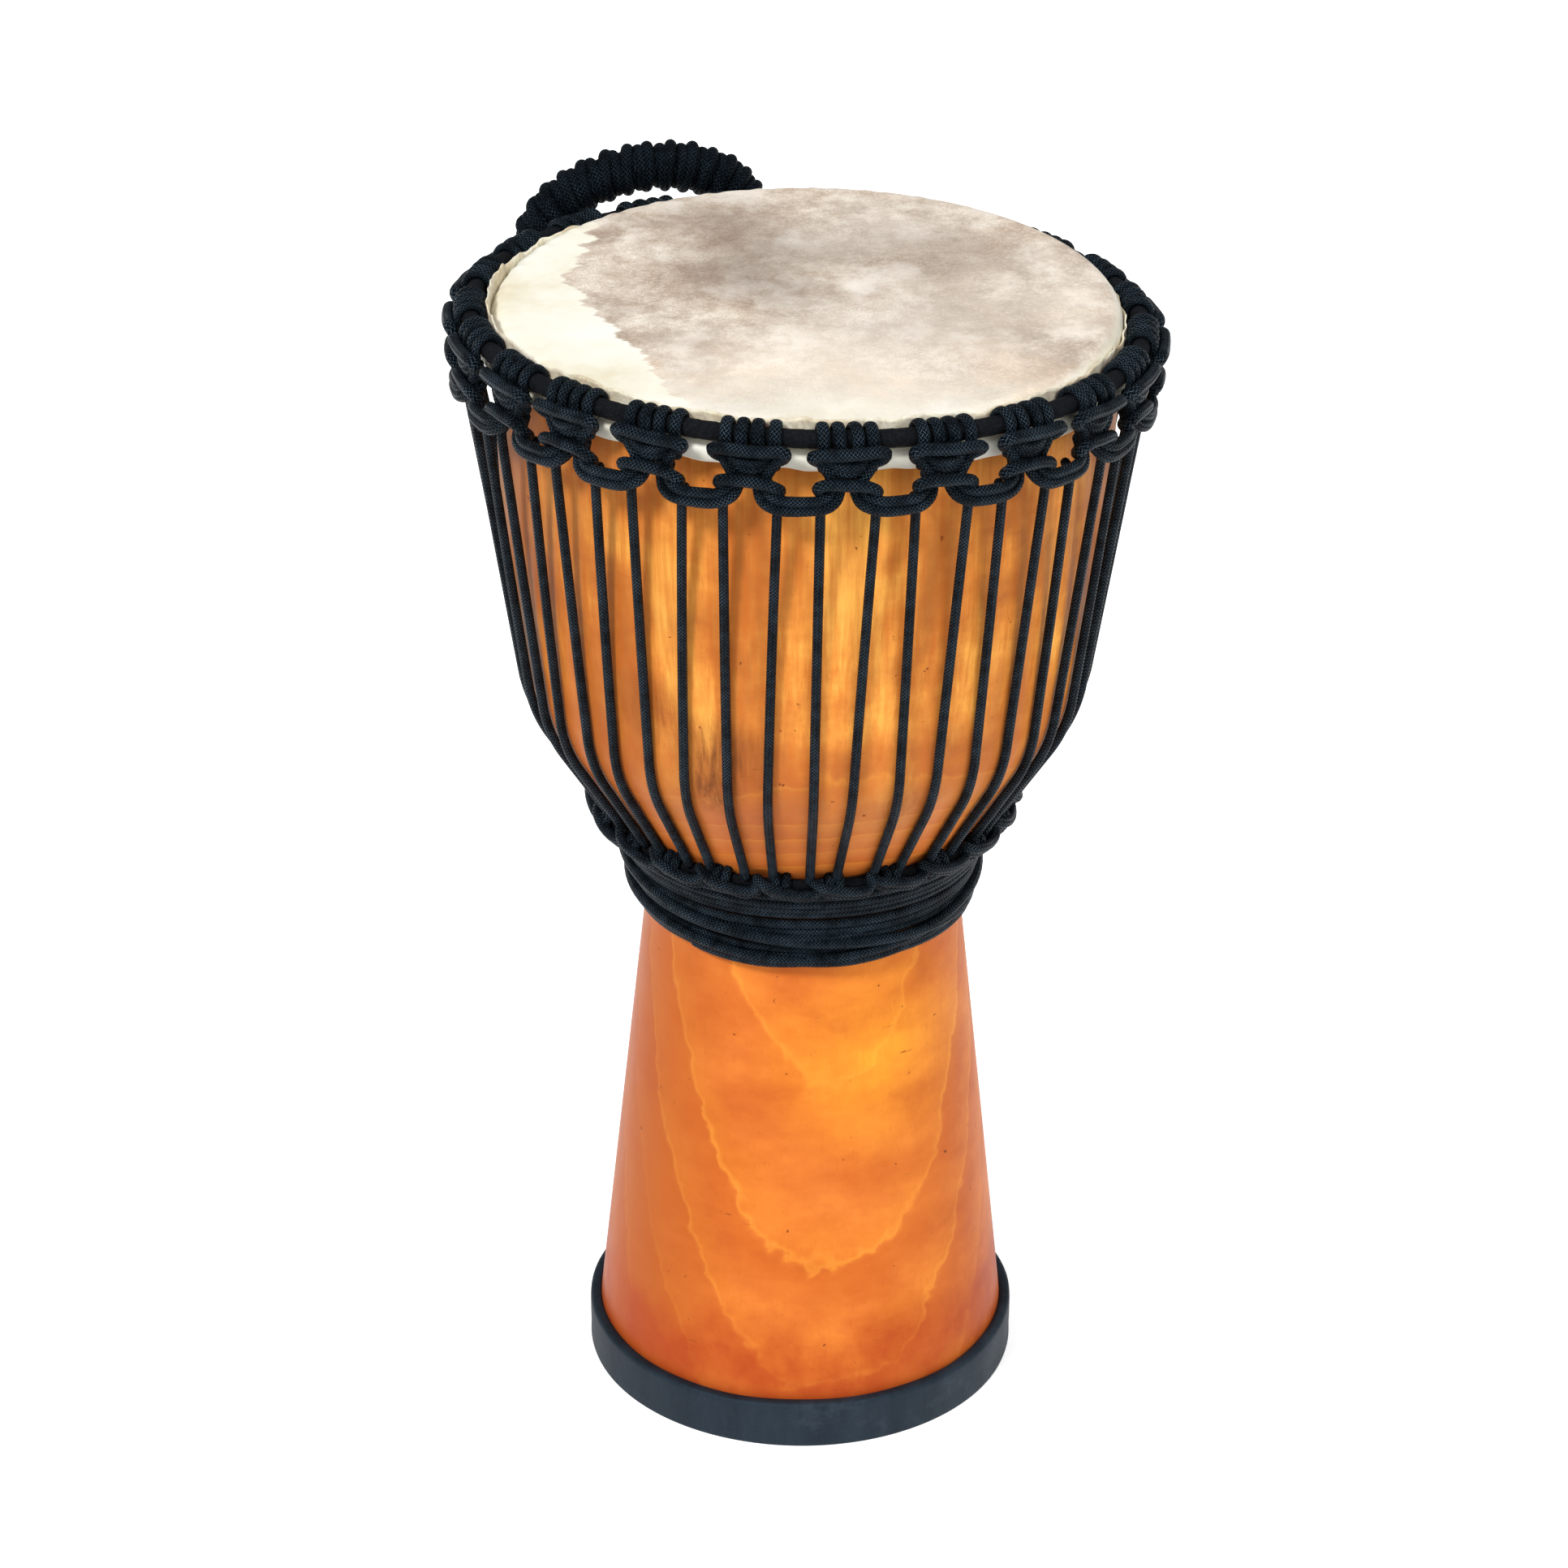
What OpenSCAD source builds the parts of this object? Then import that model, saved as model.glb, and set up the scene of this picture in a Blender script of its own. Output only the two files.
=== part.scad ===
// Rope-tuned goblet drum (djembe), standing on its foot ring.
// Frame: millimetres, +Z up, origin on the drum's axis at the floor, -Y is the front.
// An angle round the drum is counted from the front, positive towards +X.

/* [Drum] */
// Overall height, from the floor to the playing surface
drum_h = 640; // [600:1:680]
// Outer radius of the bowl at its rim, without the skin
bowl_r = 163.8; // [160:0.1:168]
// Outer radius of the wood at the waist
waist_r = 87.2; // [84:0.1:90]
// Height of the waist above the floor
waist_z = 288; // [280:1:296]
// Outer radius of the wood at the foot
foot_r = 114; // [110:0.5:118]
// Radius of the throat, the narrowest place inside
throat_r = 58; // [50:1:64]

/* [Foot ring] */
// Outer radius of the rubber ring
rubber_r = 120.3; // [119:0.1:124]
// Height of the rubber ring
rubber_h = 28; // [22:1:34]

/* [Skin] */
// Thickness of the goat skin
skin_t = 1; // [0.8:0.1:1.2]
// Radius of the flesh ring's steel rod
flesh_rod_r = 3; // [2.5:0.1:3]

/* [Rings] */
// Radius of the crown ring, at the middle of its rod
crown_r = 175.5; // [175:0.1:177]
// Mean height of the crown ring above the floor
crown_z = 631.4; // [628:0.1:634]
// Tilt of the crown ring, where the drum was last pulled up unevenly
crown_tilt = 3.44; // [2.5:0.01:4]
// Angle round the drum of the crown ring's high side
crown_high = -31.4; // [-60:0.1:0]
// Radius of the steel rod in the crown ring
crown_rod_r = 4; // [3.5:0.1:4.2]
// Radius of the steel rod in the bottom ring
bottom_rod_r = 2.5; // [2:0.1:2.5]
// Thickness of the cloth wound round the crown ring
crown_cloth_t = 0.9; // [0.6:0.1:0.9]
// Thickness of the cloth wound round the bottom ring
bottom_cloth_t = 0.5; // [0.3:0.1:0.5]

/* [Rope] */
// Diameter of the rope
rope_d = 5.4; // [5:0.1:5.4]
// Number of knots round each ring
knots = 23; // [21:1:23]
// Angle round the drum of the first knot
knot_start = -9.1; // [-15:0.1:15]
// Number of turns of spare rope wound round the waist
wrap_turns = 10; // [6:1:10]

/* [Handle] */
// Angle round the drum of the middle of the handle
handle_angle = -152.4; // [-156:0.1:-148]
// Half the distance between the handle's two eyes
handle_half = 63.5; // [62:0.1:65]
// Height of the handle's middle line above the crown ring
handle_rise = 20.8; // [20:0.1:24]
// Radius of the knotted handle
handle_r = 12.4; // [11:0.1:12.4]

/* [Hidden] */
$fn = 48;
rope_r = rope_d / 2;
eps = 0.05;

// Outside of the bowl: arcs that meet tangentially. Each lean is an angle from the vertical.
cone_lean = 32.3;
wall_lean = 8.4;
waist_arc = 123.9;
stem_arc = 120;
shoulder_arc = 87;
wall_top_z = drum_h - 14;
cone_foot = [waist_r + waist_arc * (1 - cos(cone_lean)), waist_z + waist_arc * sin(cone_lean)];
rise_r = bowl_r - cone_foot[0] - shoulder_arc * (cos(wall_lean) - cos(cone_lean));
rise_z = wall_top_z - cone_foot[1] - shoulder_arc * (sin(cone_lean) - sin(wall_lean));
lean_det = sin(cone_lean) * sin(wall_lean) - cos(cone_lean) * (1 - cos(wall_lean));
cone_l = (rise_r * sin(wall_lean) - rise_z * (1 - cos(wall_lean))) / lean_det;
wall_arc = (rise_z * sin(cone_lean) - rise_r * cos(cone_lean)) / lean_det;
shoulder_foot = [cone_foot[0] + cone_l * sin(cone_lean), cone_foot[1] + cone_l * cos(cone_lean)];
shoulder_mid = [shoulder_foot[0] - shoulder_arc * cos(cone_lean),
                shoulder_foot[1] + shoulder_arc * sin(cone_lean)];
// The stem's lean, from the wood at the foot to the arc under the waist
stem_lean = atan((foot_r - waist_r) / (waist_z - rubber_h - stem_arc * 0.05));

// Rubber ring, skin and bearing edge
lip_t = 3;
lip_r = 102;
rubber_round = 2.5;
edge_round = 8;
shell_top = drum_h - skin_t;
foot_bore_r = 96;
rim_bore_r = 147;
skin_gap = eps;
skin_wall_r = bowl_r + skin_gap;

// Flesh ring, the fold of skin round it and the collar above, all tilted like the crown ring
flesh_drop = 13.2;
fold_r = flesh_rod_r + eps + skin_t;
flesh_r = skin_wall_r + 0.6 + fold_r;
collar_r = skin_wall_r + 2.05;
collar_t = 0.8;
collar_top = 7.5;
collar_half = (flesh_drop + collar_top) / 2;
collar_foot = 2.5 - collar_half;

// Places in the crown ring's own tilted frame, as [outward from the ring, up]
crown_cloth_r = crown_rod_r + crown_cloth_t;
loop_r = crown_cloth_r + eps + rope_r;
loop_x = [-12.3, -4.1, 4.1, 12.3];
loop_open = 90;
bar_at = [10, -8.8];
bar_half = 16.6;
leg_top = [11.5, 5.5, -12.6];
leg_foot = [8.2, 5, -18.6];
low_bar_at = [8.5, -22.6];
low_bar_half = 12.8;
link_at = [7.2, -30];
link_half = 12;
link_bend = 8;
link_turn = 50;
link_sweep = 60;

// Bottom ring, on the cone just above the waist
bottom_z = 352;
bottom_cloth_r = bottom_rod_r + bottom_cloth_t;
bottom_r = waist_r + waist_arc - sqrt(pow(waist_arc, 2) - pow(bottom_z - waist_z, 2))
           + (bottom_cloth_r + 2 * eps) / cos(cone_lean);
bottom_loop_r = bottom_cloth_r + eps + rope_r;
bottom_loop_x = 3.2;
bottom_loop_sweep = 165;
bottom_link_from = 6.6;
bottom_link_to = 23;

// Tension rope: two runs hang from each link of the crown chain
run_half = 10;
run_drop = 26;
run_foot_z = 364;
run_gap = 0.25;
run_arc = shoulder_arc + run_gap + rope_r;
run_drift = 1.2;
run_spread = 0.4;
run_pivot_z = 500;
run_seam = 0.02;

// Waist wraps lie on the arc above the waist
wrap_arc = waist_arc - rope_r - eps;
wrap_start = 2.2;
wrap_pitch = 2.66;

// Handle: one arc in a plane that stands outside the knots, through its two eyes
handle_plane = 193;
hinge_z = -17.8;
arch_r = (pow(handle_half, 2) + pow(handle_rise - hinge_z, 2)) / (2 * (handle_rise - hinge_z));
arch_mid_z = handle_rise - arch_r;
hinge_from = asin((hinge_z - arch_mid_z) / arch_r);
core_r = 5;
eye_r = 2 * rope_r + 0.3;
core_gap = 0.8;
core_from = hinge_from + (eye_r + core_gap) / arch_r * 180 / PI;
cover_from = core_from + 3.4;
becket_half = 4.2;
becket_bend = 5;
becket_leg = 8.5;

// Angle round the drum of knot k, which may be a half number for the middle of a link
function knot_angle(k) = knot_start + 360 / knots * k;

// Height of the crown ring's middle line at an angle round the drum
function crown_height(a) = crown_z + crown_r * tan(crown_tilt) * cos(a - crown_high);

// Points on an arc, the two ends included
function arc_points(mid, r, from, to, n) =
    [for (i = [0:n]) [mid[0] + r * cos(from + (to - from) * i / n),
                      mid[1] + r * sin(from + (to - from) * i / n)]];

// Points on a cubic curve with its end handles at p1 and p2
function curve_points(p0, p1, p2, p3, n) =
    [for (i = [0:n]) let (t = i / n, s = 1 - t)
        p0 * s * s * s + p1 * 3 * s * s * t + p2 * 3 * s * t * t + p3 * t * t * t];

// Puts its children at an angle round the drum: +X along the rim, -Y outward
module around(a, r) {
    rotate([0, 0, a]) translate([0, -r, 0]) children();
}

// A frame tilted like the crown ring, centred on the drum's axis below the ring's own centre
module crown_frame(below = 0) {
    translate([0, 0, crown_z - below])
    rotate([0, 0, crown_high])
    rotate([-crown_tilt, 0, 0])
    rotate([0, 0, -crown_high])
        children();
}

// A straight length of rope between two points, with flat ends
module strand(a, b, r) {
    d = b - a;
    flat = norm([d[0], d[1]]);
    translate(a) rotate([0, atan2(flat, d[2]), atan2(d[1], d[0])]) cylinder(h = norm(d), r = r);
}

// An arc of rope of bend radius R in the XZ plane, from one angle to another
module rope_arc(R, r, from, to) {
    rotate([90, 0, 0]) rotate([0, 0, from])
        rotate_extrude(angle = to - from) translate([R, 0]) circle(r = r);
}

// A horizontal rope along X with both ends bent, the bends turned towards the drum
module bent_rope(half, bend, sweep, turn, r) {
    rotate([turn, 0, 0]) {
        strand([-half, 0, 0], [half, 0, 0], r);
        for (side = [0, 1]) mirror([side, 0, 0])
            translate([half, 0, bend]) rope_arc(bend, r, -90, -90 + sweep);
    }
}

// Turned wooden body: bowl, throat and stem in one piece
module shell() {
    cone_mid = [waist_r + waist_arc, waist_z];
    stem_mid = [waist_r + stem_arc, waist_z];
    wall_mid = [bowl_r - wall_arc, wall_top_z];
    color("peru") rotate_extrude($fn = 160) polygon(concat(
        [[foot_bore_r, lip_t], [foot_r, lip_t], [foot_r, rubber_h]],
        arc_points(stem_mid, stem_arc, 180 + stem_lean, 180, 3),
        arc_points(cone_mid, waist_arc, 180 - 3, 180 - cone_lean, 10),
        arc_points(shoulder_mid, shoulder_arc, -cone_lean, -wall_lean, 8),
        arc_points(wall_mid, wall_arc, -wall_lean + 1, 0, 8),
        arc_points([bowl_r - edge_round, shell_top - edge_round], edge_round, 0, 90, 6),
        [[rim_bore_r, shell_top - edge_round]],
        curve_points([rim_bore_r, shell_top - 40], [rim_bore_r - 2, 440], [throat_r, 400],
                     [throat_r, waist_z + 20], 16),
        curve_points([throat_r, waist_z], [throat_r, 200], [foot_bore_r - 14, 100],
                     [foot_bore_r, lip_t + 8], 8)));
}

// Rubber band round the foot, with a lip that turns in under the wood
module rubber_foot_ring() {
    color("darkslategray") rotate_extrude($fn = 160) polygon(concat(
        [[lip_r, 0], [rubber_r - 1, 0], [rubber_r, 1]],
        arc_points([rubber_r - rubber_round, rubber_h - rubber_round], rubber_round, 0, 90, 5),
        [[foot_r, rubber_h], [foot_r, lip_t], [lip_r, lip_t]]));
}

// Goat skin: playing surface and side wall, the fold round the flesh ring and the trimmed collar
module goat_skin() {
    color("tan") difference() {
        union() {
            skin_head();
            crown_frame(flesh_drop) rotate_extrude($fn = 160) translate([flesh_r, 0])
                circle(r = fold_r);
            crown_frame(flesh_drop - collar_half)
                rotate_extrude($fn = 160) translate([collar_r, collar_foot])
                    square([collar_t, collar_half - collar_foot]);
        }
        crown_frame(flesh_drop) rotate_extrude($fn = 160) translate([flesh_r, 0])
            circle(r = flesh_rod_r + eps);
    }
}

// Playing surface and side wall of the skin, down to the middle of the flesh ring
module skin_head() {
    edge_mid = [bowl_r - edge_round, shell_top - edge_round];
    difference() {
        rotate_extrude($fn = 160) polygon(concat(
            [[0, shell_top], [edge_mid[0], shell_top]],
            arc_points(edge_mid, edge_round + skin_gap, 88, 0, 6),
            [[skin_wall_r, crown_z - 30], [skin_wall_r + skin_t, crown_z - 30]],
            arc_points(edge_mid, edge_round + skin_gap + skin_t, 0, 88, 6),
            [[edge_mid[0], drum_h], [0, drum_h]]));
        crown_frame(flesh_drop + 60) cylinder(h = 60, r = bowl_r + 30, $fn = 160);
    }
}

// Steel ring inside the fold of the skin
module flesh_ring() {
    color("gray") crown_frame(flesh_drop)
        rotate_extrude($fn = 160) translate([flesh_r, 0]) circle(r = flesh_rod_r);
}

// Steel crown ring that pulls the flesh ring down
module crown_ring() {
    color("dimgray") crown_frame()
        rotate_extrude($fn = 160) translate([crown_r, 0]) circle(r = crown_rod_r);
}

// Black cloth wound round the crown ring
module crown_ring_cloth() {
    color("black") crown_frame() rotate_extrude($fn = 160) translate([crown_r, 0])
        difference() {
            circle(r = crown_cloth_r);
            circle(r = crown_rod_r);
        }
}

// Loops of each knot over the crown ring, open where the rope is flattened against the skin
module crown_loops() {
    color("black") crown_frame() for (k = [0:knots - 1]) for (x = loop_x)
        around(knot_angle(k) + asin(x / crown_r), crown_r) rotate([0, 0, 90])
            rope_arc(loop_r, rope_r, loop_open / 2, 360 - loop_open / 2);
}

// The rest of each knot: the bar in front of the loops, the two legs and the lower bar
module crown_knots() {
    color("black") crown_frame() for (k = [0:knots - 1]) around(knot_angle(k), crown_r) {
        translate([0, -bar_at[0], bar_at[1]]) bent_rope(bar_half, 4, 60, -80, rope_r);
        for (side = [-1, 1])
            strand([side * leg_top[0], -leg_top[1], leg_top[2]],
                   [side * leg_foot[0], -leg_foot[1], leg_foot[2]], rope_r);
        translate([0, -low_bar_at[0], low_bar_at[1]])
            strand([-low_bar_half, 0, 0], [low_bar_half, 0, 0], rope_r);
    }
}

// Two strands between neighbouring knots make each link of the chain
module crown_links() {
    color("black") crown_frame() for (k = [0:knots - 1]) around(knot_angle(k + 0.5), crown_r)
        for (row = [0, 1]) translate([0, -link_at[0], link_at[1] - row * (rope_d + eps)])
            bent_rope(link_half, link_bend + row * rope_d, link_sweep - row * 10, -link_turn, rope_r);
}

// One run of tension rope: straight from the chain to the shoulder, round it, then straight again.
// A seam of 0.03 mm at each end of the bend keeps the three lengths as separate exact solids.
module tension_run(top) {
    reach = top - shoulder_mid;
    touch = atan2(reach[1], reach[0]) - acos(run_arc / norm(reach));
    start = shoulder_mid + run_arc * [cos(touch), sin(touch)];
    end = shoulder_mid + run_arc * [cos(cone_lean), -sin(cone_lean)];
    foot = end - [tan(cone_lean), 1] * (end[1] - run_foot_z);
    strand([top[0], 0, top[1]], [start[0], 0, start[1]], rope_r);
    translate([shoulder_mid[0], 0, shoulder_mid[1]])
        rope_arc(run_arc, rope_r, run_seam - cone_lean, touch - run_seam);
    strand([end[0], 0, end[1]], [foot[0], 0, foot[1]], rope_r);
}

// All runs of the tension rope, two under each link, drifting a little to the left on the way down
module tension_rope() {
    color("black") for (k = [0:knots - 1]) for (side = [-1, 1]) {
        a = knot_angle(k + 0.5);
        top_z = crown_height(a) - run_drop;
        top_r = crown_r + 0.5 + 35 * tan(crown_tilt) * cos(a - crown_high);
        rotate([0, 0, a + side * asin(run_half / crown_r)])
        translate([0, 0, run_pivot_z]) rotate([0, run_drift - side * run_spread, 0])
        translate([0, 0, -run_pivot_z]) rotate([0, 0, -90])
            tension_run([top_r, top_z]);
    }
}

// Steel bottom ring, on the cone above the waist
module bottom_ring() {
    color("dimgray") rotate_extrude($fn = 120) translate([bottom_r, bottom_z])
        circle(r = bottom_rod_r);
}

// Cloth wound round the bottom ring
module bottom_ring_cloth() {
    color("black") rotate_extrude($fn = 120) translate([bottom_r, bottom_z]) difference() {
        circle(r = bottom_cloth_r);
        circle(r = bottom_rod_r);
    }
}

// Rope loops over the bottom ring, a pair at each knot, open where the wood is
module bottom_loops() {
    color("black") for (k = [0:knots - 1]) around(knot_angle(k), bottom_r)
        for (x = [-bottom_loop_x, bottom_loop_x]) translate([x, 0, bottom_z]) rotate([0, 0, 90])
            rope_arc(bottom_loop_r, rope_r, 180 + cone_lean - bottom_loop_sweep / 2,
                     180 + cone_lean + bottom_loop_sweep / 2);
}

// Two strands between neighbouring knots of the bottom chain
module bottom_links() {
    lift = 2 * asin((rope_r + eps) / (bottom_loop_r + 0.5));
    color("black") for (k = [0:knots - 1]) around(knot_angle(k), bottom_r)
        for (up = [45, 45 - lift])
            translate([0, -cos(up), sin(up)] * (bottom_loop_r + 0.5) + [0, 0, bottom_z])
                strand([bottom_link_from, 0, 0], [bottom_link_to, 0, 0], rope_r);
}

// Spare rope wound round the waist, turn beside turn
module waist_wraps() {
    color("black") rotate_extrude($fn = 120) for (i = [0:wrap_turns - 1])
        translate([waist_r + waist_arc - wrap_arc * cos(wrap_start + wrap_pitch * i),
                   waist_z + wrap_arc * sin(wrap_start + wrap_pitch * i)])
            circle(r = rope_r);
}

// The frame of the handle: +X along the line through its two legs, Z square to the crown ring
module handle_frame() {
    crown_frame() around(handle_angle, handle_plane) children();
}

// The handle's arc, from an angle above the line through the eyes to the same angle on the far side
module handle_arch(r, from) {
    translate([0, 0, arch_mid_z]) rope_arc(arch_r, r, from, 180 - from);
}

// Rope loops on the crown chain that the handle's eyes hang on
module handle_beckets() {
    color("black") handle_frame() for (side = [-1, 1])
        translate([side * handle_half, 0, hinge_z]) {
            bent_rope(becket_half, becket_bend, 90, -90, rope_r);
            for (end = [-1, 1])
                strand([end * (becket_half + becket_bend), becket_bend, 0],
                       [end * (becket_half + becket_bend), becket_bend + becket_leg, 0], rope_r);
        }
}

// Core of the handle: the doubled rope inside it and the eye at each end
module handle_core() {
    color("black") handle_frame() {
        handle_arch(core_r, core_from);
        for (side = [-1, 1]) translate([side * handle_half, 0, hinge_z])
            rotate([0, 90, 0]) rotate_extrude() translate([eye_r, 0]) circle(r = rope_r);
    }
}

// Knotted rope sleeve round the handle's core
module handle_cover() {
    color("black") handle_frame() difference() {
        handle_arch(handle_r, cover_from);
        handle_arch(core_r + eps, cover_from - 1);
    }
}

shell();
rubber_foot_ring();
goat_skin();
flesh_ring();
crown_ring();
crown_ring_cloth();
crown_loops();
crown_knots();
crown_links();
tension_rope();
bottom_ring();
bottom_ring_cloth();
bottom_loops();
bottom_links();
waist_wraps();
handle_beckets();
handle_core();
handle_cover();
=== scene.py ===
"""Looks of the djembe: carved shell, goat skin, braided rope and knotted handle, on its CAD frame."""
import math
import random

import bpy
import numpy as np
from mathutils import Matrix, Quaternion, Vector


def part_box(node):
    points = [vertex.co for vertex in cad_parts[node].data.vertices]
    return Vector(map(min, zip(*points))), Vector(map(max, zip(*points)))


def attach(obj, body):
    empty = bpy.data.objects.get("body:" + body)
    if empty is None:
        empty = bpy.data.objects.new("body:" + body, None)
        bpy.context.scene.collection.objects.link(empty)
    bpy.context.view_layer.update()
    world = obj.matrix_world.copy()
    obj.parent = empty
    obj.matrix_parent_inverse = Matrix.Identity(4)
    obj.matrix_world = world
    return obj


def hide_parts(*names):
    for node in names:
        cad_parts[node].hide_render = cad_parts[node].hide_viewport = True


MM = 0.001
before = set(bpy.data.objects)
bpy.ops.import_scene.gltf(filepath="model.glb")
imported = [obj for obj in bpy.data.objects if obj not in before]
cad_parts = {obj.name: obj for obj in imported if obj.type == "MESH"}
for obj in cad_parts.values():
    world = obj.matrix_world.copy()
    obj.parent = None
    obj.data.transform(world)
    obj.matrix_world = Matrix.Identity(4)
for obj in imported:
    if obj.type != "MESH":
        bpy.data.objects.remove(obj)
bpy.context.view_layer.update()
rng = random.Random(7)


# ---------------------------------------------------------------- sizes, in millimetres
def span(node):
    """Lowest and highest corner of a CAD node, in millimetres."""
    lo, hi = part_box(node)
    return np.array(lo) / MM, np.array(hi) / MM


shell_lo, shell_hi = span("shell")
rubber_hi = span("rubber_foot_ring")[1]
ring_lo, ring_hi = span("crown_ring")
chain_lo, chain_hi = span("bottom_ring")

# Turned wood: arcs that meet tangentially, as in the CAD
BOWL_R = shell_hi[0]
SHELL_TOP = shell_hi[2]
SKIN_T = 1.0
DRUM_H = SHELL_TOP + SKIN_T
RUBBER_R = rubber_hi[0]
RUBBER_H = rubber_hi[2]
FOOT_R = 114.0
LIP_R = 102.0
LIP_T = shell_lo[2]
WAIST_R = 87.2
WAIST_Z = 288.0
THROAT_R = 58.0
FOOT_BORE_R = 96.0
RIM_BORE_R = 147.0
WAIST_ARC = 123.9
STEM_ARC = 120.0
SHOULDER_ARC = 87.0
CONE_LEAN = 32.3
WALL_LEAN = 8.4
EDGE_ROUND = 8.0
WALL_TOP_Z = DRUM_H - 14.0


def shoulder_middle():
    """Centre of the shoulder arc, so that waist, cone, shoulder and wall meet tangentially."""
    cone, wall = math.radians(CONE_LEAN), math.radians(WALL_LEAN)
    cone_foot_r = WAIST_R + WAIST_ARC * (1 - math.cos(cone))
    cone_foot_z = WAIST_Z + WAIST_ARC * math.sin(cone)
    rise_r = BOWL_R - cone_foot_r - SHOULDER_ARC * (math.cos(wall) - math.cos(cone))
    rise_z = WALL_TOP_Z - cone_foot_z - SHOULDER_ARC * (math.sin(cone) - math.sin(wall))
    lean = math.sin(cone) * math.sin(wall) - math.cos(cone) * (1 - math.cos(wall))
    length = (rise_r * math.sin(wall) - rise_z * (1 - math.cos(wall))) / lean
    return np.array([cone_foot_r + length * math.sin(cone) - SHOULDER_ARC * math.cos(cone),
                     cone_foot_z + length * math.cos(cone) + SHOULDER_ARC * math.sin(cone)])


SHOULDER_MID = shoulder_middle()

# Crown ring: its height, tilt and high side, the middle of the rope chain round it, and the flesh
# ring below it with its fold of skin
ROD_R = 4.0
CROWN_R = 175.5
CROWN_Z = (ring_lo[2] + ring_hi[2]) / 2
CROWN_TILT = math.asin((ring_hi[2] - ring_lo[2] - 2 * ROD_R) / (2 * CROWN_R))
CROWN_HIGH = math.radians(-31.4)
CROWN_CLOTH_R = 4.9
CHAIN_R = CROWN_R + 8.0
FLESH_DROP = 13.2
FLESH_R = 168.5
FOLD_R = 4.05

# Rope: its radius, the knots round each ring, and the tension runs' bend, spread and foot
ROPE_R = 2.7
KNOTS = 23
KNOT_START = -9.1
RUN_R = SHOULDER_ARC + 0.25 + ROPE_R
RUN_HALF = 10.0
RUN_FOOT_Z = 364.0

# Bottom ring, and the rope wound round the waist below it: its angles are on the waist's arc
BOTTOM_Z = (chain_lo[2] + chain_hi[2]) / 2
BOTTOM_ROD_R = 2.5
BOTTOM_R = chain_hi[0] - BOTTOM_ROD_R
BOTTOM_CLOTH_R = 3.0
WRAP_TURNS = 10.4
WRAP_TOP = 28.2
WRAP_PITCH = 2.66
WRAP_FOOT = 3.0

# Handle: its place round the drum, its two eyes, the half oval of its middle line, and its sleeve
HANDLE_ANGLE = -152.4
HANDLE_PLANE = 193.0
HANDLE_HALF = 63.5
HINGE_Z = -17.8
EYE_R = 5.7
OVAL_HALF = 63.6
OVAL_RISE = 36.3
OVAL_Z = -15.5
SLEEVE_R = 10.4
SLEEVE_ROPE_R = 3.4
SLEEVE_RINGS = 30


# ---------------------------------------------------------------- places
def turn(axis, angle):
    """Rotation matrix about the x or z axis."""
    c, s = math.cos(angle), math.sin(angle)
    if axis == "z":
        return np.array([[c, -s, 0], [s, c, 0], [0, 0, 1]])
    return np.array([[1, 0, 0], [0, c, -s], [0, s, c]])


TILTED = turn("z", CROWN_HIGH) @ turn("x", -CROWN_TILT) @ turn("z", -CROWN_HIGH)


def crown_place(points):
    """Points given in the tilted frame of the crown ring, moved to where they are."""
    return np.asarray(points) @ TILTED.T + np.array([0, 0, CROWN_Z])


def rim(a, x, out, up):
    """A point near the crown ring: x along the rim from angle a, out from the ring and up."""
    angle = math.radians(a) + x / CHAIN_R
    r = CROWN_R + out
    return np.array([r * math.sin(angle), -r * math.cos(angle), up])


def round_drum(a, r, z):
    """A point at angle a in degrees, radius r and height z."""
    angle = math.radians(a)
    return np.array([r * math.sin(angle), -r * math.cos(angle), z])


def crown_height(a):
    """Height of the crown ring's middle line at an angle round the drum."""
    return CROWN_Z + CROWN_R * math.tan(CROWN_TILT) * math.cos(math.radians(a) - CROWN_HIGH)


def arc(mid, r, start, end, n):
    """Points on an arc in a plane, both ends included, angles in degrees."""
    t = np.radians(np.linspace(start, end, n))
    return [[mid[0] + r * math.cos(v), mid[1] + r * math.sin(v)] for v in t]


def cubic(p0, p1, p2, p3, n):
    """Points on a cubic curve with its end handles at p1 and p2."""
    t = np.linspace(0, 1, n)[:, None]
    s = 1 - t
    p0, p1, p2, p3 = (np.array(p, float) for p in (p0, p1, p2, p3))
    return (p0 * s**3 + 3 * p1 * s * s * t + 3 * p2 * s * t * t + p3 * t**3).tolist()


def wave(a, *parts):
    """A smooth, repeating wobble round the drum: the sum of size * sin(count * angle + phase)."""
    return sum(size * math.sin(count * math.radians(a) + phase) for size, count, phase in parts)


# ---------------------------------------------------------------- meshes
def smooth(points, step=1.5):
    """A Catmull-Rom curve through the points, sampled about every step."""
    p = np.array(points, float)
    p = np.vstack([2 * p[0] - p[1], p, 2 * p[-1] - p[-2]])
    out = []
    for i in range(1, len(p) - 2):
        n = max(2, int(np.linalg.norm(p[i + 1] - p[i]) / step))
        for t in np.arange(n) / n:
            out.append(0.5 * (2 * p[i] + (p[i + 1] - p[i - 1]) * t
                              + (2 * p[i - 1] - 5 * p[i] + 4 * p[i + 1] - p[i + 2]) * t * t
                              + (3 * p[i] - p[i - 1] - 3 * p[i + 1] + p[i + 2]) * t**3))
    out.append(p[-2])
    return np.array(out)


def unit(v):
    """Each row scaled to length one."""
    return v / np.maximum(np.linalg.norm(v, axis=-1, keepdims=True), 1e-9)


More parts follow.
